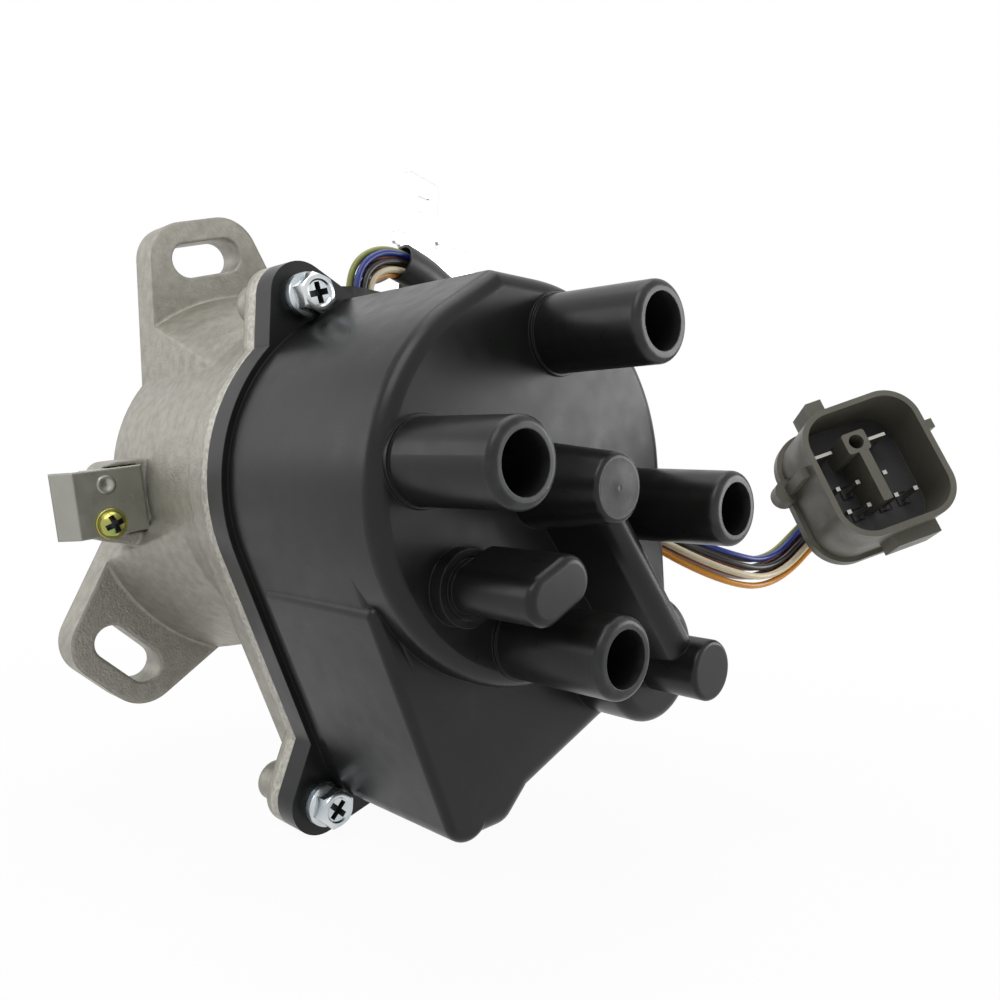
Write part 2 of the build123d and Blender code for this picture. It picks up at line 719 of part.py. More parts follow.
with BuildPart() as rotor_screw:
    rod(rotor_radial, small_screw, stub_radius, rotor_hub_radius)
    rod(rotor_radial, small_head, rotor_hub_radius, rotor_hub_radius + 1.6)
finish(rotor_screw, "rotor_screw")

with BuildPart() as rotor_electrode:
    with BuildSketch(at_height(electrode_base, rotor_angle)):
        Circle(5.0)
        with Locations((0, 0)):
            Rectangle(electrode_reach, electrode_width, align=(Align.MIN, Align.CENTER))
    extrude(amount=electrode_thickness)
    with BuildSketch(at_height(electrode_base, rotor_angle)):
        Circle(electrode_reach + 4)
        Circle(electrode_reach, mode=Mode.SUBTRACT)
    extrude(amount=electrode_thickness, mode=Mode.SUBTRACT)
finish(rotor_electrode, "rotor_electrode")

brush_base = electrode_top + brush_lift
brush_top = brush_base + brush_length
brush_bore_gap = 0.15
spring_seat = brush_top + 13.0
with BuildPart() as carbon_brush:
    rod(at_height(0), brush_radius, brush_base, brush_top)
    chamfer(front_edges(carbon_brush), 0.3)
finish(carbon_brush, "carbon_brush")

spring_wire = 0.3
spring_turns = 5
spring_radius = brush_radius - spring_wire - 0.2
spring_pitch = (spring_seat - brush_top - 2 * spring_wire) / spring_turns
with BuildPart() as brush_spring:
    with BuildLine() as spring_path:
        Helix(spring_pitch, spring_pitch * spring_turns, spring_radius,
              center=(0, -brush_top - spring_wire, 0), direction=(0, -1, 0))
    spring_line = spring_path.wire()
    with BuildSketch(Plane(origin=spring_line @ 0, z_dir=spring_line % 0)):
        Circle(spring_wire)
    sweep(path=spring_line)
finish(brush_spring, "brush_spring")

# Cap
box_top = body_depth + box_height
boss_top = body_depth + boss_height
post_top = body_depth + post_height
tower_top = body_depth + tower_height
rib_angle = math.atan2(coil_post[1], coil_post[0])
rib_length = math.hypot(*coil_post)
rib_run = (math.cos(rib_angle), math.sin(rib_angle))
rib_plane = Plane(origin=(0, -drum_top, 0), x_dir=(-rib_run[1], 0, rib_run[0]), z_dir=(rib_run[0], 0, rib_run[1]))
ridge_circle = (-13.7, 39.9, 1.0)
wing_circle = (29.0, 4.9, 12.0)
wall_step_circles = ((-32.6, -25.6, 2.0), (-7.9, -67.8, 6.0))
wall_step_base = 12.0
boss_proud = 0.3
inner_boss_radius = 5.0
inner_boss_end = 106.0
terminal_stem = 3.2
terminal_hole_gap = 0.02
collar_radius = 7.5
collar_height = 61.0
collar_bore = 5.9
seal_outer = -0.2
seal_inner = -1.4
seal_depth_in_cap = 1.4

with BuildPart() as box_form:
    with BuildSketch(at_height(body_depth)):
        body_outline()
    extrude(amount=box_height)
    fillet(front_edges(box_form), 4.0)

with BuildPart() as wall_step:
    with BuildSketch(at_height(body_depth + wall_step_base)):
        belt(wall_step_circles)
    extrude(amount=box_height - wall_step_base)
    fillet(front_edges(wall_step), 1.9)

with BuildPart() as drum_form:
    with BuildSketch(at_height(body_depth)):
        belt((drum_circle, ridge_circle))
        belt((boss_circle, wing_circle))
    extrude(amount=drum_height)
    fillet(front_edges(drum_form), drum_round)

with BuildPart() as boss_form:
    rod(spot(at_height(0), *coil_post), coil_boss_radius + boss_proud, body_depth, boss_top)
    fillet(front_edges(boss_form), 3.0)

with BuildPart() as post_form:
    revolve(turned((0, drum_top - 1), (post_radius + 0.1, drum_top - 1), (post_radius, drum_top),
                   (post_radius - post_draft, post_top), (0, post_top)), axis=Axis.Y)
    fillet(front_edges(post_form), 1.0)

with BuildPart() as coil_post_form:
    rod(spot(at_height(0), *coil_post), coil_post_radius, boss_top - 1, post_top)
    fillet(front_edges(coil_post_form), 1.0)

with BuildPart() as tower_form:
    with BuildSketch(at_height(drum_top - 1)):
        with PolarLocations(tower_circle, tower_count, start_angle=tower_phase):
            Circle(tower_radius + 0.1)
    extrude(amount=tower_top - drum_top + 1, taper=tower_draft)
    fillet(tower_form.faces().group_by(Axis.Y)[0].edges(), 1.5)
    with BuildSketch(at_height(drum_top - 1)):
        with PolarLocations(tower_circle, tower_count, start_angle=tower_phase):
            Circle(tower_radius + 0.6)
    extrude(amount=1.8)

with BuildPart() as cap_void:
    rod(at_height(0), drum_radius - cap_wall, body_depth - 1, cap_inner_top)
    with BuildSketch(at_height(body_depth - 1)):
        belt(((*coil_post, coil_boss_radius - cap_wall), (*wing_circle[:2], wing_circle[2] - cap_wall)))
    extrude(amount=cap_inner_top - body_depth + 1)
    with BuildSketch(at_height(body_depth - 1)):
        body_outline(-cap_wall)
    extrude(amount=box_height - cap_wall + 1)
    rod(spot(at_height(0), *coil_post), coil_boss_radius - cap_wall, body_depth - 1, boss_ceiling)
    rod(at_height(0), inner_boss_radius, inner_boss_end, cap_inner_top + 1, mode=Mode.SUBTRACT)

with BuildPart() as cap:
    with BuildSketch(at_height(body_depth)):
        body_outline(flange_lip)
        lug_outlines()
    extrude(amount=flange_thickness)
    for form in (box_form, wall_step, drum_form, boss_form, post_form, coil_post_form, tower_form):
        add(form.part)
    with BuildSketch(rib_plane):
        belt(((-4.0, -0.6, 0.5), (4.0, -0.6, 0.5), (0, rib_height - drum_height - 3.5, 3.5)))
    extrude(amount=rib_length)
    rod(spot(at_height(0), *vent_centre), collar_radius, drum_top - 1, body_depth + collar_height)
    add(cap_void.part, mode=Mode.SUBTRACT)
    rod(spot(at_height(0), *vent_centre), collar_bore, drum_top - 1, body_depth + collar_height + 1,
        mode=Mode.SUBTRACT)
    rod(at_height(0), brush_radius + brush_bore_gap, inner_boss_end - 1, spring_seat, mode=Mode.SUBTRACT)
    for radius, start, length in ((tower_bore, tower_top - tower_bore_depth, tower_bore_depth + 1),
                                  (terminal_stem + terminal_hole_gap, cap_inner_top - 1, 8.0)):
        with BuildSketch(at_height(start)):
            with PolarLocations(tower_circle, tower_count, start_angle=tower_phase):
                Circle(radius)
        extrude(amount=length, mode=Mode.SUBTRACT)
    with BuildSketch(at_height(body_depth - 1)):
        with Locations(*screw_places):
            Circle(screw_radius + screw_clearance)
    extrude(amount=flange_thickness + 2, mode=Mode.SUBTRACT)
    with BuildSketch(at_height(body_depth)):
        body_outline(seal_outer)
    extrude(amount=seal_depth_in_cap, mode=Mode.SUBTRACT)
finish(cap, "cap")

with BuildPart() as cap_seal:
    with BuildSketch(at_height(body_depth)):
        body_outline(seal_outer)
        belt(body_circles, seal_inner, mode=Mode.SUBTRACT)
        belt(bulge_circles, seal_inner, mode=Mode.SUBTRACT)
    extrude(amount=seal_depth_in_cap)
finish(cap_seal, "cap_seal")

segment_inner = electrode_reach + spark_gap
segment_outer = tower_circle + terminal_stem
segment_base = electrode_base - 2.0
with BuildPart() as cap_terminals:
    for index in range(tower_count):
        segment_angle = tower_phase + index * 360 / tower_count
        with BuildSketch(at_height(segment_base, segment_angle)):
            with Locations((segment_inner, 0)):
                Rectangle(segment_outer - segment_inner, segment_width, align=(Align.MIN, Align.CENTER))
            Circle(segment_inner, mode=Mode.SUBTRACT)
        extrude(amount=cap_inner_top - segment_base)
        rod(spot(at_height(0, segment_angle), tower_circle, 0), terminal_stem, cap_inner_top - 1,
            tower_top - tower_bore_depth + 5)
finish(cap_terminals, "cap_terminals")

breather_lobe = 4.8
breather_reach = (-15.0, -16.7)
with BuildPart() as breather_cap:
    rod(spot(at_height(0), *vent_centre), collar_bore - 0.1, drum_top - 1, body_depth + collar_height)
    with BuildSketch(at_height(body_depth + collar_height)):
        belt(((*vent_centre, breather_lobe), (*breather_reach, breather_lobe)))
    extrude(amount=vent_height - collar_height)
    fillet(front_edges(breather_cap), 1.6)
finish(breather_cap, "breather_cap")

# Cap screws
head_base = flange_top + washer_thickness + spring_washer_thickness
with BuildPart() as cap_screws:
    for x, z in screw_places:
        place = spot(at_height(0), x, z)
        rod(place, screw_radius, body_depth - screw_reach + 2.5, head_base)
        with BuildSketch(place.offset(head_base)):
            RegularPolygon(head_flats / 2, 6, major_radius=False)
        extrude(amount=head_height)
finish(cap_screws, "cap_screws")

with BuildPart() as flat_washers:
    for x, z in screw_places:
        place = spot(at_height(0), x, z)
        rod(place, washer_radius, flange_top, flange_top + washer_thickness)
        rod(place, screw_radius + fit_gap, flange_top, flange_top + washer_thickness, mode=Mode.SUBTRACT)
finish(flat_washers, "flat_washers")

with BuildPart() as spring_washers:
    for x, z in screw_places:
        place = spot(at_height(0), x, z)
        rod(place, spring_washer_radius, flange_top + washer_thickness, head_base)
        rod(place, screw_radius + fit_gap, flange_top, head_base, mode=Mode.SUBTRACT)
        with BuildSketch(place.offset(flange_top)):
            with Locations((screw_radius, 0)):
                Rectangle(4, 0.7)
        extrude(amount=head_base - flange_top, mode=Mode.SUBTRACT)
finish(spring_washers, "spring_washers")

# Clip bracket: a plate with one wide flange folded back and two short lips
clip_wide, clip_tall = clip_size
flange_fold = math.radians(60)
flange_length = 6.4
fold = (-math.cos(flange_fold), math.sin(flange_fold))
inner_corner = -clip_wide / 2 + sheet * math.tan(flange_fold / 2)
with BuildPart() as clip_bracket:
    clip_edge = spot(clip_plane, 0, -clip_tall / 2)
    with BuildSketch(Plane(origin=clip_edge.origin, x_dir=clip_plane.x_dir, z_dir=clip_plane.y_dir)):
        with BuildLine():
            Polyline((clip_wide / 2, 0), (-clip_wide / 2, 0),
                     (-clip_wide / 2 + flange_length * fold[0], flange_length * fold[1]),
                     (-clip_wide / 2 + flange_length * fold[0] + sheet * fold[1],
                      flange_length * fold[1] - sheet * fold[0]),
                     (inner_corner, sheet), (clip_wide / 2, sheet), close=True)
        make_face()
    extrude(amount=clip_tall)
    for x, y, width in clip_lips:
        with BuildSketch(clip_plane):
            with Locations((x, y)):
                Rectangle(width, sheet)
        extrude(amount=-clip_lip_depth)
    rod(spot(clip_plane, *clip_hole), clip_screw_radius + 0.2, -sheet, 0, mode=Mode.SUBTRACT)
finish(clip_bracket, "clip_bracket")


captive_washer = 0.9
captive_washer_radius = 3.7
dome_radius = 3.2
dome_height = 2.0
dome_taper = 22


def washer_screw(place, reach):
    """Domed screw with a captive washer, drawn into the open part; the place lies on the sheet's face."""
    rod(place, clip_screw_radius, -reach, captive_washer)
    rod(place, captive_washer_radius, 0, captive_washer)
    with BuildSketch(place.offset(captive_washer), mode=Mode.PRIVATE) as dome:
        Circle(dome_radius)
    extrude(dome.sketch, amount=dome_height, taper=dome_taper)


with BuildPart() as clip_screw:
    washer_screw(spot(clip_plane, *clip_hole), 9.5)
finish(clip_screw, "clip_screw")

hanger_window = (5.0, 4.6)
with BuildPart() as harness_bracket:
    with BuildSketch(hanger_plane) as hanger_outline:
        with BuildLine():
            Polyline((-9.0, 38.8), (2.4, 36.6), (6.0, 46.0), (24.0, 57.5), (24.0, 68.4), (6.1, 68.4),
                     (6.1, 83.8), (-6.5, 84.8), (-6.5, 67.5), (-10.8, 67.5), (-10.8, 64.0), (-8.2, 64.0),
                     close=True)
        make_face()
        fillet(hanger_outline.vertices(), 0.9)
        with Locations((0.2, 77.0)):
            Rectangle(*hanger_window, mode=Mode.SUBTRACT)
        with Locations((6.4, 67.4)):
            Circle(1.0, mode=Mode.SUBTRACT)
        with Locations(hanger_hole):
            Circle(clip_screw_radius + 0.2, mode=Mode.SUBTRACT)
    extrude(amount=-sheet)
finish(harness_bracket, "harness_bracket")

with BuildPart() as harness_bracket_screw:
    washer_screw(spot(hanger_plane, *hanger_hole), 10.5)
finish(harness_bracket_screw, "harness_bracket_screw")

# Harness: grommet, nine wires and their sleeve
grommet_lip_size = (24.0, 20.0)
with BuildPart() as harness_grommet:
    with BuildSketch(Plane.XY.offset(grommet_floor)):
        with Locations((grommet_place[0], -body_depth + (grommet_depth - grommet_clearance) / 2)):
            RectangleRounded(grommet_size[0], grommet_depth - grommet_clearance, 1.5)
    extrude(amount=grommet_top - grommet_floor)
    with BuildSketch(Plane.XY.offset(grommet_top - grommet_lip - 0.3)):
        with Locations((grommet_place[0], -body_depth + grommet_lip_size[1] / 2)):
            RectangleRounded(*grommet_lip_size, 3.0)
    extrude(amount=grommet_lip)
finish(harness_grommet, "harness_grommet")

# Connector frame: origin at the middle of the mouth, z out of the mouth
facing = Vector(*shell_facing).normalized()
shell_plane = Plane(origin=(shell_centre[0], -shell_centre[1], shell_centre[2]),
                    x_dir=shell_side, z_dir=facing)
boot_thickness = 2.5
boot_back = shell_depth + boot_thickness
wire_entry = Vector(*shell_plane.origin) - facing * boot_back
wire_lead = wire_entry - facing * 7.0

# Centre line of the bundle, from the grommet to the back of the connector
bundle_route = [
    (1.2, -50.0, grommet_top), (1.2, -50.0, 50.0), (3.4, -50.0, 54.2), (7.6, -50.0, 57.2),
    (13.0, -50.0, 57.6), (20.5, -50.0, 55.6), (34.0, -49.0, 49.8), (51.0, -45.5, 36.0),
    (59.0, -45.0, 23.0), (65.0, -56.0, 4.5), (64.3, -76.0, -6.2), (61.8, -98.0, -11.2),
    (69.5, -109.0, -17.0), (82.0, -113.5, -20.5), (92.0, -114.5, -21.0), (100.0, -116.5, -18.0),
    (105.0, -119.2, -12.2), (106.0, -124.5, -6.0), tuple(wire_lead), tuple(wire_entry),
]
bundle_spread = [1.1, 1.1, 1.1, 1.05, 1.0, 1.0, 1.0, 1.0, 1.0, 1.0, 1.0, 1.25, 1.6, 1.65, 1.4, 1.2,
                 1.15, 1.15, 1.15, 1.3]
# Lanes side by side across the bundle: three, four and two in three layers
layer_pitch = wire_pitch * 0.866
wire_lanes = {
    "wire_lime": (-wire_pitch, -layer_pitch),
    "wire_blue": (0.0, -layer_pitch),
    "wire_black": (wire_pitch, -layer_pitch),
    "wire_red": (-1.5 * wire_pitch, 0.0),
    "wire_cream": (-0.5 * wire_pitch, 0.0),
    "wire_brown": (0.5 * wire_pitch, 0.0),
    "wire_orange": (1.5 * wire_pitch, 0.0),
    "wire_green": (-wire_pitch, layer_pitch),
    "wire_grey": (0.0, layer_pitch),
}


def lane_route(across, deep):
    """Route of one wire beside the bundle's centre line, kept at its offset by a frame that doesn't twist."""
    centre = [Vector(*point) for point in bundle_route]
    side = Vector(1, 0, 0)
    route = []
    for index, point in enumerate(centre):
        before = centre[max(index - 1, 0)]
        after = centre[min(index + 1, len(centre) - 1)]
        along = (after - before).normalized()
        side = (side - along * side.dot(along)).normalized()
        layer = along.cross(side)
        route.append(point + side * (across * bundle_spread[index]) + layer * (deep * bundle_spread[index]))
    return route


def corner_radii(route):
    """Largest even radius at each corner of a route: 0.45 of the shorter run over the half turn's tangent."""
    radii = []
    for before, corner, after in zip(route, route[1:], route[2:]):
        turn = math.radians((corner - before).get_angle(after - corner))
        radii.append(0.45 * min((corner - before).length, (after - corner).length) / math.tan(turn / 2))
    return radii


smallest_bend = math.inf
for wire_name, lane in wire_lanes.items():
    route = lane_route(*lane)
    radii = corner_radii(route)
    smallest_bend = min(smallest_bend, *radii)
    with BuildPart() as wire:
        with BuildLine() as wire_path:
            FilletPolyline(*route, radius=radii)
        wire_line = wire_path.wire()
        with BuildSketch(Plane(origin=wire_line @ 0, z_dir=wire_line % 0)):
            Circle(wire_radius)
        sweep(path=wire_line)
    section_times_length = math.pi * wire_radius ** 2 * wire_line.length
    print(f"{wire_name}: length {wire_line.length:.1f} mm, radii {min(radii):.1f} to {max(radii):.1f} mm, "
          f"volume {wire.part.volume:.1f} of {section_times_length:.1f}")
    finish(wire, wire_name)

sleeve_start = 0.1
sleeve_end = 0.55
sleeve_route = [Vector(*point) for point in bundle_route[4:12]]
sleeve_route[0] = sleeve_route[0] + (sleeve_route[1] - sleeve_route[0]) * sleeve_start
sleeve_route[-1] = sleeve_route[-2] + (sleeve_route[-1] - sleeve_route[-2]) * sleeve_end
with BuildPart() as harness_sleeve:
    with BuildLine() as sleeve_path:
        FilletPolyline(*sleeve_route, radius=corner_radii(sleeve_route))
    sleeve_line = sleeve_path.wire()
    with BuildSketch(Plane(origin=sleeve_line @ 0, z_dir=sleeve_line % 0)):
        Circle(sleeve_inner + sleeve_wall)
        Circle(sleeve_inner, mode=Mode.SUBTRACT)
    sweep(path=sleeve_line)
print(f"sleeve: length {sleeve_line.length:.1f} mm, smallest wire bend {smallest_bend:.1f} mm")
finish(harness_sleeve, "harness_sleeve")

# Connector shell with its keyed post
shell_wide, shell_tall = shell_size
socket_floor = -socket_depth
pin_columns = (-9.5, -4.3, 2.9, 8.0)
pin_rows = (-1.8, -7.9)
pin_places = [(x, y) for y in pin_rows for x in pin_columns][:3] + [(x, pin_rows[1]) for x in pin_columns]
blade_places = ((-9.0, 7.3), (5.3, 7.3))
pin_side = 1.0
blade_size = (4.4, 0.8)
post_head = (-1.9, 6.8)
post_head_size = (5.9, 5.3)
post_head_round = 0.8
post_hole = 1.8
post_stem = (-1.2, 2.4)
post_stem_end = -8.9
with BuildPart() as connector_shell:
    with BuildSketch(shell_plane.offset(-shell_depth)):
        RectangleRounded(shell_wide, shell_tall, shell_round)
    extrude(amount=shell_depth)
    with BuildSketch(shell_plane.offset(-shell_depth)):
        RectangleRounded(shell_wide + 2.4, shell_tall + 2.4, shell_round + 1.2)
    extrude(amount=3.0)
    for place, size, start, end in (((-6.5, shell_tall / 2 + 1.4), (4.0, 4.4), -14.0, -3.0),
                                    ((3.0, -shell_tall / 2 - 1.2), (11.0, 3.6), -14.0, -5.0),
                                    ((shell_wide / 2 + 1.2, 5.0), (3.2, 2.4), -6.0, -2.0),
                                    ((-shell_wide / 2 - 0.6, 4.4), (2.4, 2.6), -shell_depth + 2, -4.0)):
        with BuildSketch(shell_plane.offset(start)):
            with Locations(place):
                Rectangle(*size)
        extrude(amount=end - start)
    rod(spot(shell_plane, -shell_wide / 2 - 1.4, 4.4), 3.2, -shell_depth, -shell_depth + 5)
    with BuildSketch(shell_plane.offset(socket_floor)):
        RectangleRounded(shell_wide - 2 * shell_wall, shell_tall - 2 * shell_wall, shell_round - shell_wall)
    extrude(amount=socket_depth + 1, mode=Mode.SUBTRACT)
    with BuildSketch(shell_plane.offset(socket_floor - 1)):
        with Locations(post_head):
            RectangleRounded(*post_head_size, post_head_round)
        with Locations((post_stem[0], (post_head[1] + post_stem_end) / 2)):
            Rectangle(post_stem[1], post_head[1] - post_stem_end)
    extrude(amount=socket_depth - 0.6)
    rod(spot(shell_plane, *post_head), post_hole, -8.0, 0, mode=Mode.SUBTRACT)
    with BuildSketch(shell_plane.offset(-shell_depth)):
        with Locations(*pin_places):
            Rectangle(pin_side + 0.02, pin_side + 0.02)
        with Locations(*blade_places):
            Rectangle(blade_size[0] + 0.02, blade_size[1] + 0.02)
    extrude(amount=shell_depth - socket_depth + 1, mode=Mode.SUBTRACT)
finish(connector_shell, "connector_shell")

pin_reach = 9.0
with BuildPart() as connector_pins:
    with BuildSketch(shell_plane.offset(-shell_depth)):
        with Locations(*pin_places):
            Rectangle(pin_side, pin_side)
        with Locations(*blade_places):
            Rectangle(*blade_size)
    extrude(amount=shell_depth - socket_depth + pin_reach)
finish(connector_pins, "connector_pins")

with BuildPart() as connector_boot:
    with BuildSketch(shell_plane.offset(-boot_back)):
        RectangleRounded(shell_wide - 5, shell_tall - 5, shell_round - 2.5)
    extrude(amount=boot_thickness)
finish(connector_boot, "connector_boot")
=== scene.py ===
"""Finishes, wiring, screws and studio for an ignition distributor with a built-in coil.

Metres. The shaft lies along Y: the cap faces -Y, the drive end +Y, and +Z is up.
"""
import math

import bmesh
import bpy
from bpy.props import FloatProperty, FloatVectorProperty, PointerProperty
from mathutils import Matrix, Vector


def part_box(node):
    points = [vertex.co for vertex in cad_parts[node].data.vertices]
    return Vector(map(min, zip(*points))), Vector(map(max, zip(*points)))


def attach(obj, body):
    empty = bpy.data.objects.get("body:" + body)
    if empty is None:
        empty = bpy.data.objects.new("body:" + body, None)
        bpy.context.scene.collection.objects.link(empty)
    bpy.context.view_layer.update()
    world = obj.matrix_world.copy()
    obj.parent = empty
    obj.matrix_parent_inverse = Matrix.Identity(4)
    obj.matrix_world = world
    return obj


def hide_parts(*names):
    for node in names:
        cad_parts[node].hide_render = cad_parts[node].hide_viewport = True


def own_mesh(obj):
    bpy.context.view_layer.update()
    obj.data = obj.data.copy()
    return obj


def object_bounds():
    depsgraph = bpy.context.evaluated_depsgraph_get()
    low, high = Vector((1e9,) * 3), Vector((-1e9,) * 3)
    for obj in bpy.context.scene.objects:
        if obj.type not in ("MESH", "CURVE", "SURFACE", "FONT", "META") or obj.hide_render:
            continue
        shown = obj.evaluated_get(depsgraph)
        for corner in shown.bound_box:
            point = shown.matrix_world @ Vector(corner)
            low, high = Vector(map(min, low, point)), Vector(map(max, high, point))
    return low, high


bl_info = {
    "name": "Distributor dressing",
    "version": (1, 0, 0),
    "blender": (4, 5, 0),
    "location": "3D View > Sidebar > Distributor",
    "description": "Finishes, wires, screws and studio for an ignition distributor",
    "category": "Object",
}

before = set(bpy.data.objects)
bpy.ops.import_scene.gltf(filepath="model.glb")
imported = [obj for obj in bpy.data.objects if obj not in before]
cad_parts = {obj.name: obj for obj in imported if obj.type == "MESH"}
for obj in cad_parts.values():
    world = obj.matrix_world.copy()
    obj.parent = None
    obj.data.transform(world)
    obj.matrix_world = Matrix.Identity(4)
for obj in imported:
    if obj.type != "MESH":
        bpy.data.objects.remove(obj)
cad_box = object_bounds()
MM = 0.001


def low(node):
    """Lowest corner of a node's box."""
    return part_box(node)[0]


def high(node):
    """Highest corner of a node's box."""
    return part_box(node)[1]


def middle(node):
    """Centre of a node's box."""
    return (low(node) + high(node)) / 2


# Settings

def colour(name, description, value):
    """Colour setting with its name, its description and its default."""
    return FloatVectorProperty(name=name, description=description, subtype="COLOR", size=4,
                               min=0.0, max=1.0, default=(*value, 1.0))


class FinishColours(bpy.types.PropertyGroup):
    """Main colours of the finishes."""

    casting: colour("Casting", "Bead-blasted aluminium of the housing", (0.355, 0.342, 0.298))
    machined: colour("Machined rim", "Freshly turned aluminium", (0.50, 0.485, 0.43))
    cap: colour("Cap", "Black moulded cap", (0.0085, 0.0095, 0.0085))
    connector: colour("Connector", "Grey moulded connector", (0.120, 0.116, 0.090))
    zinc: colour("Zinc", "Bright zinc plating", (0.66, 0.68, 0.69))
    yellow_zinc: colour("Yellow zinc", "Yellow chromate plating", (0.46, 0.40, 0.10))
    steel: colour("Steel", "Ground steel", (0.52, 0.52, 0.53))
    rubber: colour("Rubber", "Seals and boots", (0.016, 0.016, 0.017))


class ScrewSizes(bpy.types.PropertyGroup):
    """Sizes of the screw heads."""

    recess_width: FloatProperty(name="Recess width", description="Across the cross recess", unit="LENGTH",
                                default=5.2 * MM, min=MM, max=8 * MM)
    recess_slot: FloatProperty(name="Recess slot", description="Width of one arm of the cross",
                               unit="LENGTH", default=1.35 * MM, min=0.2 * MM, max=3 * MM)
    recess_depth: FloatProperty(name="Recess depth", description="Depth of the cross", unit="LENGTH",
                                default=2.6 * MM, min=0.2 * MM, max=4 * MM)
    dish_radius: FloatProperty(name="Dish radius", description="Radius of the hollow in the head's top",
                               unit="LENGTH", default=3.1 * MM, min=MM, max=4 * MM)
    dish_depth: FloatProperty(name="Dish depth", description="Depth of that hollow", unit="LENGTH",
                              default=0.35 * MM, min=0.0, max=2 * MM)


class StudioSettings(bpy.types.PropertyGroup):
    """Strength of the lamps and the surroundings."""

    key_power: FloatProperty(name="Key power", description="Large lamp over the left shoulder", default=2.6,
                             min=0.0, max=50.0)
    fill_power: FloatProperty(name="Fill power", description="Lamp from the right", default=1.6,
                              min=0.0, max=50.0)
    side_power: FloatProperty(name="Side power", description="Lamp from behind on the left", default=0.9,
                              min=0.0, max=50.0)
    top_power: FloatProperty(name="Top power", description="Lamp straight above", default=2.4,
                             min=0.0, max=50.0)
    floor_glow: FloatProperty(name="Floor glow", description="Whiteness of the floor beside the object",
                              default=0.95, min=0.0, max=1.0)
    world_strength: FloatProperty(name="Surroundings", description="Light from all round", default=0.22,
                                  min=0.0, max=3.0)


# Fixed colours: each pair is a base and the shade of its uneven patches

BRASS = ((0.62, 0.42, 0.14, 1), (0.52, 0.34, 0.10, 1))
LAMINATED_IRON = ((0.20, 0.20, 0.21, 1), (0.13, 0.13, 0.14, 1))
MOULDED_BROWN = ((0.16, 0.06, 0.025, 1), (0.13, 0.05, 0.02, 1))
PICKUP_BLACK = ((0.02, 0.02, 0.022, 1), (0.03, 0.03, 0.033, 1))
TERMINAL_ALLOY = ((0.6, 0.6, 0.58, 1), (0.5, 0.5, 0.48, 1))
CARBON = ((0.03, 0.03, 0.03, 1), (0.05, 0.05, 0.05, 1))
SLEEVE_BLACK = ((0.014, 0.014, 0.015, 1), (0.022, 0.022, 0.024, 1))
TINNED = ((0.48, 0.47, 0.43, 1), (0.36, 0.35, 0.32, 1))
SATIN_SHEET = ((0.37, 0.37, 0.33, 1), (0.31, 0.31, 0.275, 1))
BRIGHT_SHEET = ((0.88, 0.88, 0.86, 1), (0.83, 0.83, 0.80, 1))
# Painted shade: dark colour for the walls of the screws' cross recesses
RECESS_PAINTED_SHADE = ((0.055, 0.060, 0.060, 1), (0.11, 0.12, 0.12, 1))
SPRING_STEEL = ((0.55, 0.55, 0.54, 1), (0.42, 0.42, 0.42, 1))
INSERT_BLACK = ((0.02, 0.021, 0.022, 1), (0.03, 0.031, 0.03, 1))
FROSTED_BLACK = ((0.030, 0.032, 0.031, 1), (0.017, 0.018, 0.017, 1))
WASHER_PATCH = (0.34, 0.40, 0.43, 1)
SCREW_PATCH = (0.44, 0.49, 0.52, 1)
CHROMATE_PATCH = (0.27, 0.34, 0.12, 1)
# Lighter black for the tower ends: partly wear, partly painted highlight
WORN_SHEEN_BLACK = (0.034, 0.036, 0.035, 1)
CAP_SCUFF = (0.03, 0.032, 0.03, 1)
CONNECTOR_SCUFF = (0.22, 0.21, 0.19, 1)
SHEET_SCUFF = (0.48, 0.47, 0.43, 1)
PAPER_WHITE = (0.9, 0.9, 0.9, 1)


# Node groups and materials

def new_group(name, inputs, outputs):
    """Shader node group with named sockets; returns the group and its two ends."""
    group = bpy.data.node_groups.new(name, "ShaderNodeTree")
    for label, kind, value in inputs:
        group.interface.new_socket(name=label, in_out="INPUT", socket_type=kind).default_value = value
    for label, kind in outputs:
        group.interface.new_socket(name=label, in_out="OUTPUT", socket_type=kind)
    return group, group.nodes.new("NodeGroupInput"), group.nodes.new("NodeGroupOutput")


def noise(nodes, links, vector, scale, detail=4.0):
    """Noise texture on a vector, with its scale from a socket or a number."""
    texture = nodes.new("ShaderNodeTexNoise")
    texture.inputs["Detail"].default_value = detail
    links.new(vector, texture.inputs["Vector"])
    if isinstance(scale, float):
        texture.inputs["Scale"].default_value = scale
    else:
        links.new(scale, texture.inputs["Scale"])
    return texture.outputs["Fac"]


def stretch(nodes, links, value, low_in, high_in, low_out=0.0, high_out=1.0):
    """Map a value from one range to another, clamped."""
    ramp = nodes.new("ShaderNodeMapRange")
    links.new(value, ramp.inputs["Value"])
    for label, number in (("From Min", low_in), ("From Max", high_in),
                          ("To Min", low_out), ("To Max", high_out)):
        if isinstance(number, (int, float)):
            ramp.inputs[label].default_value = number
        else:
            links.new(number, ramp.inputs[label])
    return ramp.outputs["Result"]


def arithmetic(nodes, links, operation, first, second):
    """Result of one calculation on two sockets."""
    step = nodes.new("ShaderNodeMath")
    step.operation = operation
    links.new(first, step.inputs[0])
    links.new(second, step.inputs[1])
    return step.outputs[0]


def raised_normal(nodes, links, height, strength, distance, normal):
    """Normal raised by a height, on top of another normal where there is one."""
    relief = nodes.new("ShaderNodeBump")
    relief.inputs["Strength"].default_value = strength
    relief.inputs["Distance"].default_value = distance
    links.new(height, relief.inputs["Height"])
    if normal is not None:
        links.new(normal, relief.inputs["Normal"])
    return relief.outputs["Normal"]


def shaft_position(nodes, links):
    """Position along the shaft, as a value."""
    split = nodes.new("ShaderNodeSeparateXYZ")
    links.new(nodes.new("ShaderNodeTexCoord").outputs["Object"], split.inputs["Vector"])
    return split.outputs["Y"]


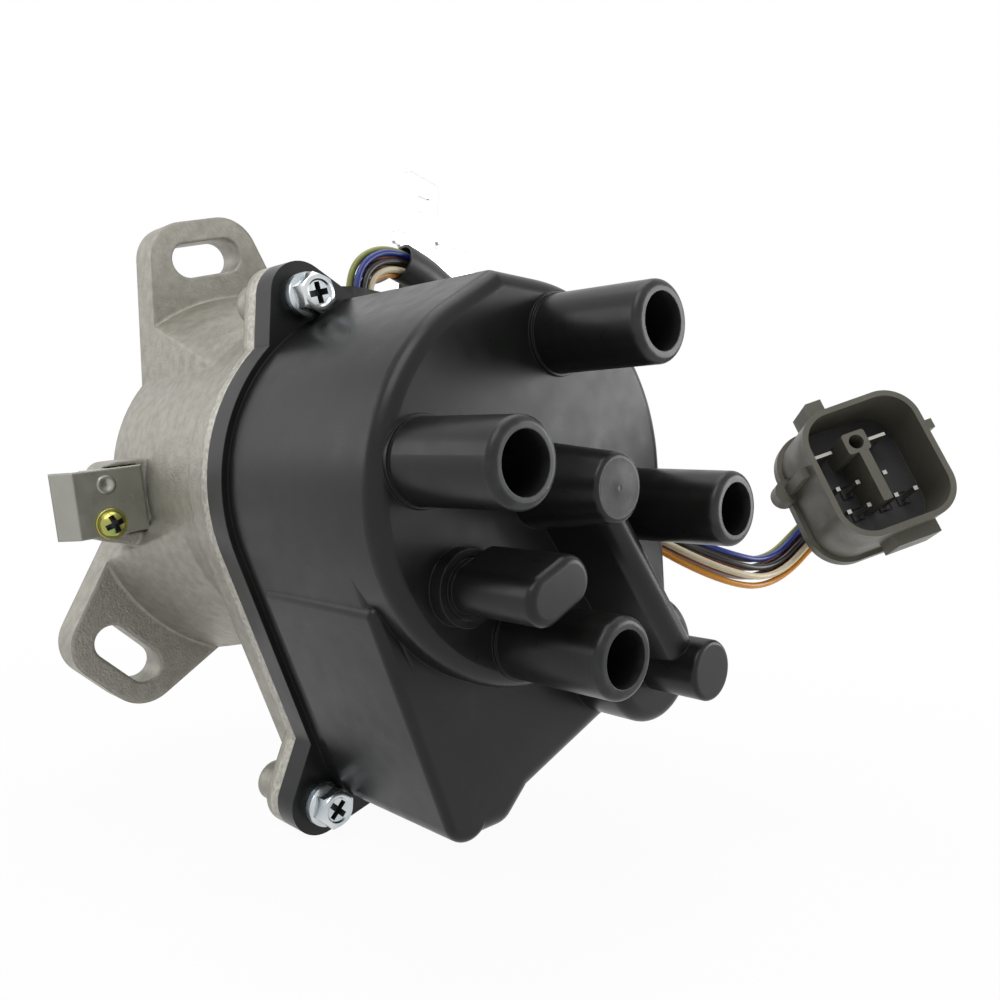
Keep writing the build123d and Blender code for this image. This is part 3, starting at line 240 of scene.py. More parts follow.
def blend_colours(nodes, links, mask, first, second):
    """Mix two colours, each a socket or a value, by a mask."""
    mix = nodes.new("ShaderNodeMix")
    mix.data_type = "RGBA"
    links.new(mask, mix.inputs["Factor"])
    for socket, source in ((mix.inputs[6], first), (mix.inputs[7], second)):
        if isinstance(source, bpy.types.NodeSocket):
            links.new(source, socket)
        else:
            socket.default_value = source
    return mix.outputs[2]


GLOSS_SCALE = 210.0
GLOSS_SPAN = (0.3, 0.7)
PATCH_SPAN = (0.35, 0.68)


def make_skin_group():
    """Uneven colour, uneven gloss and fine grain over any surface."""
    group, start, end = new_group(
        "skin",
        (("Base", "NodeSocketColor", (0.5, 0.5, 0.5, 1)), ("Patch", "NodeSocketColor", (0.4, 0.4, 0.4, 1)),
         ("Patch Scale", "NodeSocketFloat", 60.0), ("Grain Scale", "NodeSocketFloat", 2500.0),
         ("Smoothest", "NodeSocketFloat", 0.3), ("Roughest", "NodeSocketFloat", 0.5)),
        (("Color", "NodeSocketColor"), ("Roughness", "NodeSocketFloat"), ("Height", "NodeSocketFloat")))
    nodes, links = group.nodes, group.links
    place = nodes.new("ShaderNodeTexCoord").outputs["Object"]
    patch = noise(nodes, links, place, start.outputs["Patch Scale"], 6.0)
    grain = noise(nodes, links, place, start.outputs["Grain Scale"], 2.0)
    gloss = noise(nodes, links, place, GLOSS_SCALE, 5.0)
    mask = stretch(nodes, links, patch, *PATCH_SPAN)
    links.new(blend_colours(nodes, links, mask, start.outputs["Base"], start.outputs["Patch"]),
              end.inputs["Color"])
    links.new(stretch(nodes, links, gloss, *GLOSS_SPAN, start.outputs["Smoothest"],
                      start.outputs["Roughest"]), end.inputs["Roughness"])
    links.new(grain, end.inputs["Height"])


SCRATCH_TURN = (0.4, 0.9, 0.3)
SCRATCH_STRETCH = (1.0, 9.0, 1.0)
SCRATCH_SPAN = (0.60, 0.72)
SPOT_SCALE = 55.0
SPOT_SPAN = (0.48, 0.62)


def make_scratch_group():
    """Short fine scratches and rubbed spots, as a mask."""
    group, start, end = new_group(
        "scuffs", (("Amount", "NodeSocketFloat", 0.3), ("Scale", "NodeSocketFloat", 120.0)),
        (("Mask", "NodeSocketFloat"),))
    nodes, links = group.nodes, group.links
    place = nodes.new("ShaderNodeTexCoord").outputs["Object"]
    squeeze = nodes.new("ShaderNodeMapping")
    squeeze.inputs["Rotation"].default_value = SCRATCH_TURN
    squeeze.inputs["Scale"].default_value = SCRATCH_STRETCH
    links.new(place, squeeze.inputs["Vector"])
    lines = noise(nodes, links, squeeze.outputs["Vector"], start.outputs["Scale"], 8.0)
    spots = noise(nodes, links, place, SPOT_SCALE, 3.0)
    marks = arithmetic(nodes, links, "MULTIPLY", stretch(nodes, links, lines, *SCRATCH_SPAN),
                       stretch(nodes, links, spots, *SPOT_SPAN))
    links.new(arithmetic(nodes, links, "MULTIPLY", marks, start.outputs["Amount"]), end.inputs["Mask"])


def make_turned_group():
    """Fine rings about the shaft's line, as left by a lathe tool on sides and faces, as a height."""
    group, start, end = new_group("turned", (("Rings Scale", "NodeSocketFloat", 420.0),),
                                  (("Height", "NodeSocketFloat"),))
    nodes, links = group.nodes, group.links
    place = nodes.new("ShaderNodeTexCoord").outputs["Object"]
    heights = []
    for wave_type, label in (("BANDS", "bands_direction"), ("RINGS", "rings_direction")):
        wave = nodes.new("ShaderNodeTexWave")
        wave.wave_type = wave_type
        setattr(wave, label, "Y")
        wave.inputs["Distortion"].default_value = 0.6
        wave.inputs["Detail"].default_value = 2.0
        links.new(place, wave.inputs["Vector"])
        links.new(start.outputs["Rings Scale"], wave.inputs["Scale"])
        heights.append(wave.outputs["Fac"])
    links.new(arithmetic(nodes, links, "ADD", *heights), end.inputs["Height"])


def group_node(material, name, **values):
    """Place a node group in a material with its own values."""
    node = material.node_tree.nodes.new("ShaderNodeGroup")
    node.node_tree = bpy.data.node_groups[name]
    for label, value in values.items():
        node.inputs[label.replace("_", " ")].default_value = value
    return node


EDGE_SAMPLES = 6
RING_DEPTH = 0.05 * MM


def finish_material(name, base, patch, smoothest, roughest, metallic=0.0, patch_scale=60.0,
                    grain_scale=2500.0, bump=0.05, bump_distance=0.1 * MM, scuffs=0.0, scuff_colour=None,
                    specular=0.5, soft_edge=0.0, rings=0.0):
    """Principled material dressed with the skin group, and with scuffs and a lathe's rings where asked."""
    material = bpy.data.materials.new(name)
    material.use_nodes = True
    nodes, links = material.node_tree.nodes, material.node_tree.links
    shader = nodes["Principled BSDF"]
    shader.inputs["Metallic"].default_value = metallic
    shader.inputs["Specular IOR Level"].default_value = specular
    skin = group_node(material, "skin", Base=base, Patch=patch, Patch_Scale=patch_scale,
                      Grain_Scale=grain_scale, Smoothest=smoothest, Roughest=roughest)
    tint = skin.outputs["Color"]
    if scuffs:
        marks = group_node(material, "scuffs", Amount=scuffs)
        tint = blend_colours(nodes, links, marks.outputs["Mask"], tint, scuff_colour)
    links.new(tint, shader.inputs["Base Color"])
    links.new(skin.outputs["Roughness"], shader.inputs["Roughness"])
    normal = None
    if soft_edge:
        round_off = nodes.new("ShaderNodeBevel")
        round_off.samples = EDGE_SAMPLES
        round_off.inputs["Radius"].default_value = soft_edge
        normal = round_off.outputs["Normal"]
    normal = raised_normal(nodes, links, skin.outputs["Height"], bump, bump_distance, normal)
    if rings:
        turned = group_node(material, "turned")
        normal = raised_normal(nodes, links, turned.outputs["Height"], rings, RING_DEPTH, normal)
    links.new(normal, shader.inputs["Normal"])
    return material


def shade(tint, factor):
    """The same colour, darker or lighter."""
    return (*(min(1.0, channel * factor) for channel in tint[:3]), 1.0)


def dress(material, *names):
    """Give CAD nodes a material."""
    for name in names:
        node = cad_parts[name]
        node.data.materials.clear()
        node.data.materials.append(material)


RIM_DEPTH = 3.1 * MM
RIM_FADE = 0.15 * MM


def make_casting():
    """Bead-blasted aluminium with a bright turned rim beside the joint."""
    colours = bpy.context.scene.distributor_colours
    material = finish_material("bead_blasted_aluminium", colours.casting, shade(colours.casting, 0.80), 0.40,
                               0.56, metallic=0.7, patch_scale=430.0, grain_scale=1500.0, bump=0.8,
                               bump_distance=0.16 * MM, scuffs=0.10,
                               scuff_colour=shade(colours.casting, 1.35), soft_edge=1.4 * MM)
    nodes, links = material.node_tree.nodes, material.node_tree.links
    shader = nodes["Principled BSDF"]
    rim_end = low("housing").y + RIM_DEPTH
    rim = stretch(nodes, links, shaft_position(nodes, links), rim_end + RIM_FADE, rim_end)
    skin_colour = shader.inputs["Base Color"].links[0].from_socket
    turned = group_node(material, "skin", Base=colours.machined, Patch=shade(colours.machined, 0.6),
                        Patch_Scale=900.0)
    links.new(blend_colours(nodes, links, rim, skin_colour, turned.outputs["Color"]),
              shader.inputs["Base Color"])
    return material


# Where the tower ends are painted lighter: partly wear, partly painted highlight
WORN_SHEEN_START = 2.2 * MM
WORN_SHEEN_FULL = 0.3 * MM
WORN_SHEEN_SCALE = 260.0
WORN_SHEEN_SPAN = (0.38, 0.62)
WORN_SHEEN_SHARE = (0.35, 1.0)


def make_cap_black(black):
    """The moulded black, painted lighter grey at the tower ends: partly wear where leads are pulled off,
    partly painted highlight on the rims.
    """
    material = black.copy()
    material.name = "moulded_black_rubbed"
    nodes, links = material.node_tree.nodes, material.node_tree.links
    shader = nodes["Principled BSDF"]
    place = nodes.new("ShaderNodeTexCoord").outputs["Object"]
    tower_end = low("cap").y
    worn_sheen_mask = stretch(nodes, links, shaft_position(nodes, links), tower_end + WORN_SHEEN_START,
                     tower_end + WORN_SHEEN_FULL)
    broken = stretch(nodes, links, noise(nodes, links, place, WORN_SHEEN_SCALE), *WORN_SHEEN_SPAN, *WORN_SHEEN_SHARE)
    share = arithmetic(nodes, links, "MULTIPLY", worn_sheen_mask, broken)
    moulded = shader.inputs["Base Color"].links[0].from_socket
    # Tower ends painted lighter: partly wear, partly painted highlight
    links.new(blend_colours(nodes, links, share, moulded, WORN_SHEEN_BLACK), shader.inputs["Base Color"])
    return material


# Meshes

SHARP_ANGLE = math.radians(28)
EDGE_ANGLE = math.radians(35)
LATHE_STEPS = 40
CROSS_TAPER = 0.62
CROSS_CLEAR = 1.0 * MM
SAME_PLACE = 1e-6
SAME_FACING = 0.9999


def to_mesh_object(name, mesh_data, *materials):
    """Finished bmesh as an object of its own at the origin, with its materials."""
    bmesh.ops.recalc_face_normals(mesh_data, faces=mesh_data.faces)
    mesh = bpy.data.meshes.new(name)
    mesh_data.to_mesh(mesh)
    mesh_data.free()
    for polygon in mesh.polygons:
        polygon.use_smooth = True
    mesh.set_sharp_from_angle(angle=SHARP_ANGLE)
    for material in materials:
        mesh.materials.append(material)
    piece = bpy.data.objects.new(name, mesh)
    bpy.context.collection.objects.link(piece)
    return piece


def soften(piece, width):
    """Rounded edges and clean shading."""
    bevel = piece.modifiers.new("edge", "BEVEL")
    bevel.width = width
    bevel.segments = 2
    bevel.limit_method = "ANGLE"
    bevel.angle_limit = EDGE_ANGLE
    bevel.harden_normals = True


def carve(piece, cutter, operation="DIFFERENCE"):
    """Cut one piece out of another, or keep what they share, and drop the cutter."""
    cut = piece.modifiers.new("cut", "BOOLEAN")
    cut.operation = operation
    cut.object = cutter
    cut.solver = "EXACT"
    cut.use_self = True
    bpy.context.view_layer.update()
    carved = bpy.data.meshes.new_from_object(piece.evaluated_get(bpy.context.evaluated_depsgraph_get()))
    if not carved.polygons:
        raise RuntimeError(f"nothing is left of {piece.name} after its cut")
    piece.modifiers.clear()
    piece.data = carved
    bpy.data.objects.remove(cutter)


def lathe(points, spot):
    """Bmesh turned from (radius, height) points in millimetres about the z axis of a spot's matrix."""
    turned = bmesh.new()
    line = [turned.verts.new((radius * MM, 0, height * MM)) for radius, height in points]
    edges = [turned.edges.new(pair) for pair in zip(line, line[1:])]
    bmesh.ops.spin(turned, geom=line + edges, cent=(0, 0, 0), axis=(0, 0, 1), angle=math.tau,
                   steps=LATHE_STEPS, use_merge=True)
    bmesh.ops.remove_doubles(turned, verts=turned.verts, dist=SAME_PLACE)
    bmesh.ops.transform(turned, matrix=spot, verts=turned.verts)
    return turned


def cross_cutter(spot, screws):
    """Tapered cross, set down into a head from its top at the spot's origin."""
    size = (screws.recess_width, screws.recess_slot, screws.recess_depth + CROSS_CLEAR)
    middle_height = (CROSS_CLEAR - screws.recess_depth) / 2
    cross = bmesh.new()
    for turn in (0.0, math.pi / 2):
        arm = bmesh.ops.create_cube(cross, size=1.0)["verts"]
        bmesh.ops.scale(cross, vec=size, verts=arm)
        bmesh.ops.translate(cross, vec=(0, 0, middle_height), verts=arm)
        for vertex in arm:
            if vertex.co.z < 0:
                vertex.co.x *= CROSS_TAPER
        bmesh.ops.rotate(cross, cent=(0, 0, 0), matrix=Matrix.Rotation(turn, 3, "Z"), verts=arm)
    bmesh.ops.transform(cross, matrix=spot, verts=cross.verts)
    return to_mesh_object("cross_cutter", cross)


def screw_spot(centre, facing, roll=0.0):
    """Matrix whose z points along facing, turned about it by roll."""
    turn = facing.to_track_quat("Z", "Y").to_matrix().to_4x4()
    return Matrix.Translation(centre) @ turn @ Matrix.Rotation(roll, 4, "Z")


# Cords

GROMMET_TOP = 46.0
SHELL_CENTRE = Vector((80.3, -151.2, 9.2))
SHELL_FACING = Vector((-0.684, -0.654, 0.323)).normalized()
SHELL_SIDE = Vector((0.727, -0.578, 0.370))
BOOT_BACK = 24.5
WIRE_ENTRY = SHELL_CENTRE - SHELL_FACING * BOOT_BACK
STRAIGHT_LEAD = 7.0
WIRE_LEAD = WIRE_ENTRY - SHELL_FACING * STRAIGHT_LEAD
BUNDLE_ROUTE = [
    (1.2, -50.0, GROMMET_TOP), (1.2, -50.0, 49.6), (3.0, -50.0, 53.4), (7.2, -50.0, 56.2),
    (12.8, -50.0, 57.0), (20.5, -50.0, 55.6), (34.0, -49.0, 49.8), (51.0, -45.5, 36.0),
    (59.0, -45.0, 23.0), (65.0, -56.0, 4.5), (64.3, -76.0, -6.2), (61.8, -98.0, -11.2),
    (69.5, -109.0, -17.0), (82.0, -113.5, -20.5), (92.0, -114.5, -21.0), (100.0, -116.5, -18.0),
    (105.0, -119.2, -12.2), (106.0, -124.5, -6.0), tuple(WIRE_LEAD), tuple(WIRE_ENTRY),
]
BUNDLE_SPREAD = [1.1, 1.15, 1.2, 1.2, 1.1, 1.0, 1.0, 1.0, 1.0, 1.0, 1.0, 1.25, 1.6, 1.65, 1.4, 1.2,
                 1.15, 1.15, 1.15, 1.3]
SLACK_SHARE = {1: 0.25, 2: 0.8, 3: 1.0, 4: 0.5}
WIRE_RADIUS = 0.85
WIRE_PITCH = 1.86
LAYER_PITCH = WIRE_PITCH * 0.866
WIRES = {
    "wire_lime": ((-1.5 * WIRE_PITCH, 0.0), (0.23, 0.26, 0.05), (0.28, 0.30, 0.07)),
    "wire_blue": ((-WIRE_PITCH, -LAYER_PITCH), (0.012, 0.03, 0.21), (0.018, 0.045, 0.28)),
    "wire_black": ((0.0, -LAYER_PITCH), (0.010, 0.010, 0.011), (0.018, 0.018, 0.018)),
    "wire_red": ((-0.5 * WIRE_PITCH, 0.0), (0.34, 0.045, 0.02), (0.40, 0.07, 0.03)),
    "wire_cream": ((WIRE_PITCH, -LAYER_PITCH), (0.64, 0.55, 0.36), (0.72, 0.65, 0.48)),
    "wire_brown": ((0.5 * WIRE_PITCH, 0.0), (0.22, 0.075, 0.025), (0.28, 0.10, 0.04)),
    "wire_orange": ((1.5 * WIRE_PITCH, 0.0), (0.64, 0.24, 0.008), (0.70, 0.30, 0.015)),
    "wire_green": ((-WIRE_PITCH, LAYER_PITCH), (0.02, 0.20, 0.06), (0.03, 0.26, 0.08)),
    "wire_grey": ((0.0, LAYER_PITCH), (0.20, 0.20, 0.21), (0.26, 0.26, 0.27)),
}
WIRE_SLACK = {"wire_grey": 2.4 * WIRE_PITCH, "wire_green": 2.0 * WIRE_PITCH}


def lane_route(across, deep, slack):
    """Route of one wire beside the bundle's centre line, kept at its offset by a frame that doesn't twist.

    Slack lets the wire lie nearer the inside of the first bend, above the grommet.
    """
    centre = [Vector(point) for point in BUNDLE_ROUTE]
    side = Vector((1, 0, 0))
    route = []
    for index, point in enumerate(centre):
        before = centre[max(index - 1, 0)]
        after = centre[min(index + 1, len(centre) - 1)]
        along = (after - before).normalized()
        side = (side - along * side.dot(along)).normalized()
        layer = along.cross(side)
        spread = BUNDLE_SPREAD[index]
        inward = across * spread + slack * SLACK_SHARE.get(index, 0.0)
        route.append((point + side * inward + layer * deep * spread) * MM)
    return route


CAMERA_PLACE = Vector((-134.48, -246.66, -1.18)) * MM
CAMERA_RIGHT = Vector((0.71568, -0.69710, 0.04303))
CAMERA_UP = Vector((-0.0128, 0.0485, 0.9987))
CAMERA_SENSOR = 36.0
CAMERA_LENS = 33.19
CAMERA_SHIFT = (-0.00833, 0.0133)


class DISTRIBUTOR_OT_camera(bpy.types.Operator):
    """Stand the camera where the photograph was taken"""

    bl_idname = "distributor.camera"
    bl_label = "Camera"

    def execute(self, context):
        camera_data = bpy.data.cameras.new("camera")
        camera_data.sensor_width = CAMERA_SENSOR
        camera_data.lens = CAMERA_LENS
        camera_data.shift_x, camera_data.shift_y = CAMERA_SHIFT
        camera_data.clip_start = 10 * MM
        camera = bpy.data.objects.new("camera", camera_data)
        context.collection.objects.link(camera)
        back = CAMERA_RIGHT.cross(CAMERA_UP)
        turn = Matrix((CAMERA_RIGHT, CAMERA_UP, back)).transposed().to_4x4()
        camera.matrix_world = Matrix.Translation(CAMERA_PLACE) @ turn
        context.scene.camera = camera
        return {"FINISHED"}


class DISTRIBUTOR_OT_wires(bpy.types.Operator):
    """Lay the nine wires from the grommet to the connector"""

    bl_idname = "distributor.wires"
    bl_label = "Wires"

    def execute(self, context):
        for name, (lane, tint, patch) in WIRES.items():
            route = lane_route(*lane, WIRE_SLACK.get(name, 0.0))
            curve = bpy.data.curves.new(name + "_line", "CURVE")
            curve.dimensions = "3D"
            curve.bevel_depth = WIRE_RADIUS * MM
            curve.bevel_resolution = 3
            curve.use_fill_caps = True
            spline = curve.splines.new("NURBS")
            spline.points.add(len(route) - 1)
            for point, place in zip(spline.points, route):
                point.co = (*place, 1.0)
            spline.order_u = 3
            spline.use_endpoint_u = True
            spline.resolution_u = 6
            piece = bpy.data.objects.new(name + "_insulation", curve)
            context.collection.objects.link(piece)
            material = finish_material(name + "_insulation", (*tint, 1), (*patch, 1), 0.28, 0.40,
                                       patch_scale=240.0, grain_scale=1500.0, bump=0.08,
                                       bump_distance=0.05 * MM)
            curve.materials.append(material)
            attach(piece, "body")
            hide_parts(name)
        return {"FINISHED"}


class DISTRIBUTOR_OT_castings(bpy.types.Operator):
    """Finish the housing and the plated and turned metal on the shaft"""

    bl_idname = "distributor.castings"
    bl_label = "Housing and shaft finishes"

    def execute(self, context):
        colours = context.scene.distributor_colours
        dress(make_casting(), "housing")
        steel = finish_material("ground_steel", colours.steel, shade(colours.steel, 0.85), 0.20, 0.36,
                                metallic=1.0, patch_scale=70.0, grain_scale=900.0, bump=0.04)
        dress(steel, "drive_shaft", "bearing_outer_race", "bearing_inner_race", "bearing_balls",
              "thrust_washer", "coupling_pin", "crank_wheel", "top_wheel", "phase_wheel")
        dress(finish_material("turned_coupling", shade(colours.steel, 0.85), shade(colours.steel, 0.7), 0.28,
                              0.42, metallic=1.0, patch_scale=120.0, grain_scale=700.0, bump=0.08,
                              rings=0.35), "drive_coupling", "coupling_clip")
        dress(finish_material("pressed_brass", *BRASS, 0.25, 0.40, metallic=1.0),
              "bearing_cage", "rotor_electrode", "coil_contact")
        dress(finish_material("laminated_iron", *LAMINATED_IRON, 0.35, 0.55, metallic=0.8,
                              grain_scale=1800.0, bump=0.2), "coil_core")
        return {"FINISHED"}


class DISTRIBUTOR_OT_cap_finish(bpy.types.Operator):
    """Finish the moulded cap, its vent and the plastic inside"""

    bl_idname = "distributor.cap_finish"
    bl_label = "Moulded parts"

    def execute(self, context):
        colours = context.scene.distributor_colours
        black = finish_material("moulded_black", colours.cap, shade(colours.cap, 1.5), 0.27, 0.36,
                                patch_scale=45.0, grain_scale=1700.0, bump=0.08, bump_distance=0.06 * MM,
                                scuffs=0.35, scuff_colour=CAP_SCUFF, specular=0.26,
                                soft_edge=0.3 * MM)
        dress(black, "breather_cap", "coil_winding", "igniter_module")
        dress(make_cap_black(black), "cap")
        dress(finish_material("moulded_brown", *MOULDED_BROWN, 0.35, 0.5, grain_scale=1500.0, bump=0.08),
              "rotor", "dust_cover")
        dress(finish_material("pickup_moulding", *PICKUP_BLACK, 0.4, 0.55),
              "crank_pickup", "top_pickup", "phase_pickup")
        dress(finish_material("terminal_alloy", *TERMINAL_ALLOY, 0.3, 0.45, metallic=0.9, bump=0.1),
              "cap_terminals")
        dress(finish_material("brush_carbon", *CARBON, 0.5, 0.7, bump=0.2), "carbon_brush")
        return {"FINISHED"}


class DISTRIBUTOR_OT_harness_finish(bpy.types.Operator):
    """Finish the sleeve, the grommet, the seals and the connector"""

    bl_idname = "distributor.harness_finish"
    bl_label = "Harness parts"

    def execute(self, context):
        colours = context.scene.distributor_colours
        rubber = finish_material("matt_rubber", colours.rubber, shade(colours.rubber, 1.5), 0.55, 0.75,
                                 grain_scale=1800.0, bump=0.15)
        dress(rubber, "oil_seal", "o_ring", "cap_seal", "harness_grommet", "connector_boot")
        dress(finish_material("satin_sleeve", *SLEEVE_BLACK, 0.32, 0.45, patch_scale=150.0,
                              grain_scale=1300.0, bump=0.08), "harness_sleeve")
        dress(finish_material("connector_grey", colours.connector, shade(colours.connector, 0.82), 0.38,
                              0.55, patch_scale=80.0, grain_scale=1600.0, bump=0.12,
                              bump_distance=0.06 * MM, scuffs=0.25, scuff_colour=CONNECTOR_SCUFF),
              "connector_shell")
        dress(finish_material("tinned_contacts", *TINNED, 0.25, 0.4, metallic=1.0), "connector_pins")
        return {"FINISHED"}


class DISTRIBUTOR_OT_plated_parts(bpy.types.Operator):
    """Finish the brackets, the washers and the screws inside"""

    bl_idname = "distributor.plated_parts"
    bl_label = "Plated parts"

    def execute(self, context):
        colours = context.scene.distributor_colours
        dress(finish_material("bright_zinc", colours.zinc, shade(colours.zinc, 0.84), 0.16, 0.32,
                              metallic=1.0, patch_scale=110.0, grain_scale=900.0, bump=0.05),
              "retainer_screws", "pickup_screws", "igniter_screws", "coil_screws", "rotor_screw",
              "bearing_retainer")
        dress(finish_material("washer_zinc", shade(colours.zinc, 0.72), WASHER_PATCH, 0.20, 0.34,
                              metallic=1.0, patch_scale=300.0, grain_scale=900.0, bump=0.05),
              "spring_washers", "flat_washers")
        dress(finish_material("satin_sheet", *SATIN_SHEET, 0.24, 0.38, metallic=1.0, patch_scale=60.0,
                              grain_scale=1200.0, bump=0.04, scuffs=0.15, scuff_colour=SHEET_SCUFF,
                              soft_edge=0.9 * MM), "clip_bracket")
        dress(finish_material("bright_sheet", *BRIGHT_SHEET, 0.20, 0.30, metallic=1.0, patch_scale=60.0,
                              grain_scale=1200.0, bump=0.012, soft_edge=0.4 * MM), "harness_bracket")
        return {"FINISHED"}


# Screws

TO_CAP = Vector((0, -1, 0))
SCREW_PLACES = ((-25.2, 39.6), (-15.1, -75.5), (45.1, 12.9))
SCREW_ROLLS = (0.35, 0.9, 0.1)
HEAD_FLATS = 8.0
HEAD_HEIGHT = 4.6
HEAD_CORNER_DROP = 1.5
HEAD_ROUND = ((0.0, 0.35), (0.15, 0.1), (0.45, 0.0))
DISH_WALL = 0.5
DISH_LIP = 0.1
CUT_MARGIN = 1
FLANGE_RADIUS = 5.0
FLANGE_HEIGHT = 1.05
FLANGE_ROUND = ((0.3, 0.0), (0.0, 0.25), (0.1, 0.6))
SCREW_RADIUS = 2.5
SCREW_TIP = (0.6, 0.8)
CLIP_SCREW_RADIUS = 2.2
CLIP_SCREW_TIP = (0.5, 0.6)
CAPTIVE_WASHER = 0.9
CAPTIVE_WASHER_RADIUS = 3.7
WASHER_EDGE = (0.15, 0.2)
DOME_RADIUS = 3.2
DOME_HEIGHT = 2.0
DOME_SINK = 0.15
DOME_TURNS = range(20, 91, 14)
CLIP_SCREW_LENGTH = 9.5
CLIP_SCREW_ROLL = 0.5
HANGER_SCREW_LENGTH = 10.5
HANGER_SCREW_ROLL = 0.2
HANGER_TURN = math.radians(10)
HANGER_BEND = Vector((27.0, -42.0, 40.7))
HANGER_SCREW_OFFSET = 3.6
HANGER_ALONG = Vector((math.cos(HANGER_TURN), math.sin(HANGER_TURN), 0))
HANGER_SCREW_PLACE = (HANGER_BEND - HANGER_ALONG * HANGER_SCREW_OFFSET) * MM
HANGER_SCREW_FACING = Vector((math.sin(HANGER_TURN), -math.cos(HANGER_TURN), 0))


def cut_cross(piece, spot, screws):
    """Cut the cross of a screw head whose top lies at the spot, and give its walls the second material, which
    paints shade into the cross.
    """
    whole = len(piece.data.polygons)
    planes = [(polygon.normal.copy(), polygon.center.copy()) for polygon in piece.data.polygons]
    carve(piece, cross_cutter(spot, screws))
    if whole == len(piece.data.polygons):
        raise RuntimeError(f"the cross isn't cut in {piece.name}")
    for polygon in piece.data.polygons:
        on_head = any(abs(normal.dot(polygon.normal)) > SAME_FACING
                      and abs((polygon.center - centre).dot(normal)) < SAME_PLACE
                      for normal, centre in planes)
        polygon.material_index = 0 if on_head else 1


def hex_head(spot, screws, length):
    """Hexagon screw with a thin flange, a rounded and dished top and a cross, on a seat's middle spot."""
    corner = HEAD_FLATS / math.sqrt(3)
    flat = HEAD_FLATS / 2
    crown = HEAD_HEIGHT
    dish_floor = crown - screws.dish_depth / MM
    dish_radius = screws.dish_radius / MM
    head = bmesh.new()
    seat = bmesh.ops.create_circle(head, cap_ends=True, segments=6, radius=corner * MM)["verts"]
    raised = bmesh.ops.extrude_face_region(head, geom=list(seat[0].link_faces))["geom"]
    top = [item for item in raised if isinstance(item, bmesh.types.BMVert)]
    bmesh.ops.translate(head, vec=(0, 0, crown * MM), verts=top)
    bmesh.ops.transform(head, matrix=spot, verts=head.verts)
    piece = to_mesh_object("hex_head", head)
    carve(piece, to_mesh_object("hex_round", lathe(
        ((0, -CUT_MARGIN), (corner + CUT_MARGIN, -CUT_MARGIN), (corner + CUT_MARGIN, crown - HEAD_CORNER_DROP),
         *((flat - inward, crown - down) for inward, down in HEAD_ROUND), (0, crown)), spot)), "INTERSECT")
    carve(piece, to_mesh_object("hex_dish", lathe(
        ((0, dish_floor), (dish_radius - DISH_WALL, dish_floor), (dish_radius, crown + DISH_LIP),
         (dish_radius, crown + CUT_MARGIN), (0, crown + CUT_MARGIN)), spot)))
    cut_cross(piece, spot @ Matrix.Translation((0, 0, dish_floor * MM)), screws)
    tip_in, tip_up = SCREW_TIP
    shank = lathe(((0, -length), (SCREW_RADIUS - tip_in, -length), (SCREW_RADIUS, tip_up - length),
                   (SCREW_RADIUS, 0), *((FLANGE_RADIUS - inward, up) for inward, up in FLANGE_ROUND),
                   (flat, FLANGE_HEIGHT), (0, FLANGE_HEIGHT)), spot)
    return [piece, to_mesh_object("hex_shank", shank)]


def dome_head(spot, screws, length):
    """Domed screw with a captive washer and a cross; the spot is the middle of the washer's seat."""
    washer = CAPTIVE_WASHER
    rim = CAPTIVE_WASHER_RADIUS
    edge_in, edge_up = WASHER_EDGE
    tip_in, tip_up = CLIP_SCREW_TIP
    dome = [(DOME_RADIUS * math.cos(turn), washer + DOME_HEIGHT * math.sin(turn))
            for turn in (math.radians(step) for step in DOME_TURNS)]
    profile = [(0, -length), (CLIP_SCREW_RADIUS - tip_in, -length), (CLIP_SCREW_RADIUS, tip_up - length),
               (CLIP_SCREW_RADIUS, 0), (rim - edge_in, 0), (rim, edge_up), (rim, washer - edge_up),
               (rim - edge_in, washer), (DOME_RADIUS, washer), *dome, (0, washer + DOME_HEIGHT)]
    piece = to_mesh_object("dome_head", lathe(profile, spot))
    cut_cross(piece, spot @ Matrix.Translation((0, 0, (washer + DOME_HEIGHT - DOME_SINK) * MM)), screws)
    return [piece]


def join_as(name, pieces, *materials):
    """Join finished pieces into one with these materials."""
    joined = bmesh.new()
    for piece in pieces:
        joined.from_mesh(piece.data)
        bpy.data.objects.remove(piece)
    return to_mesh_object(name, joined, *materials)


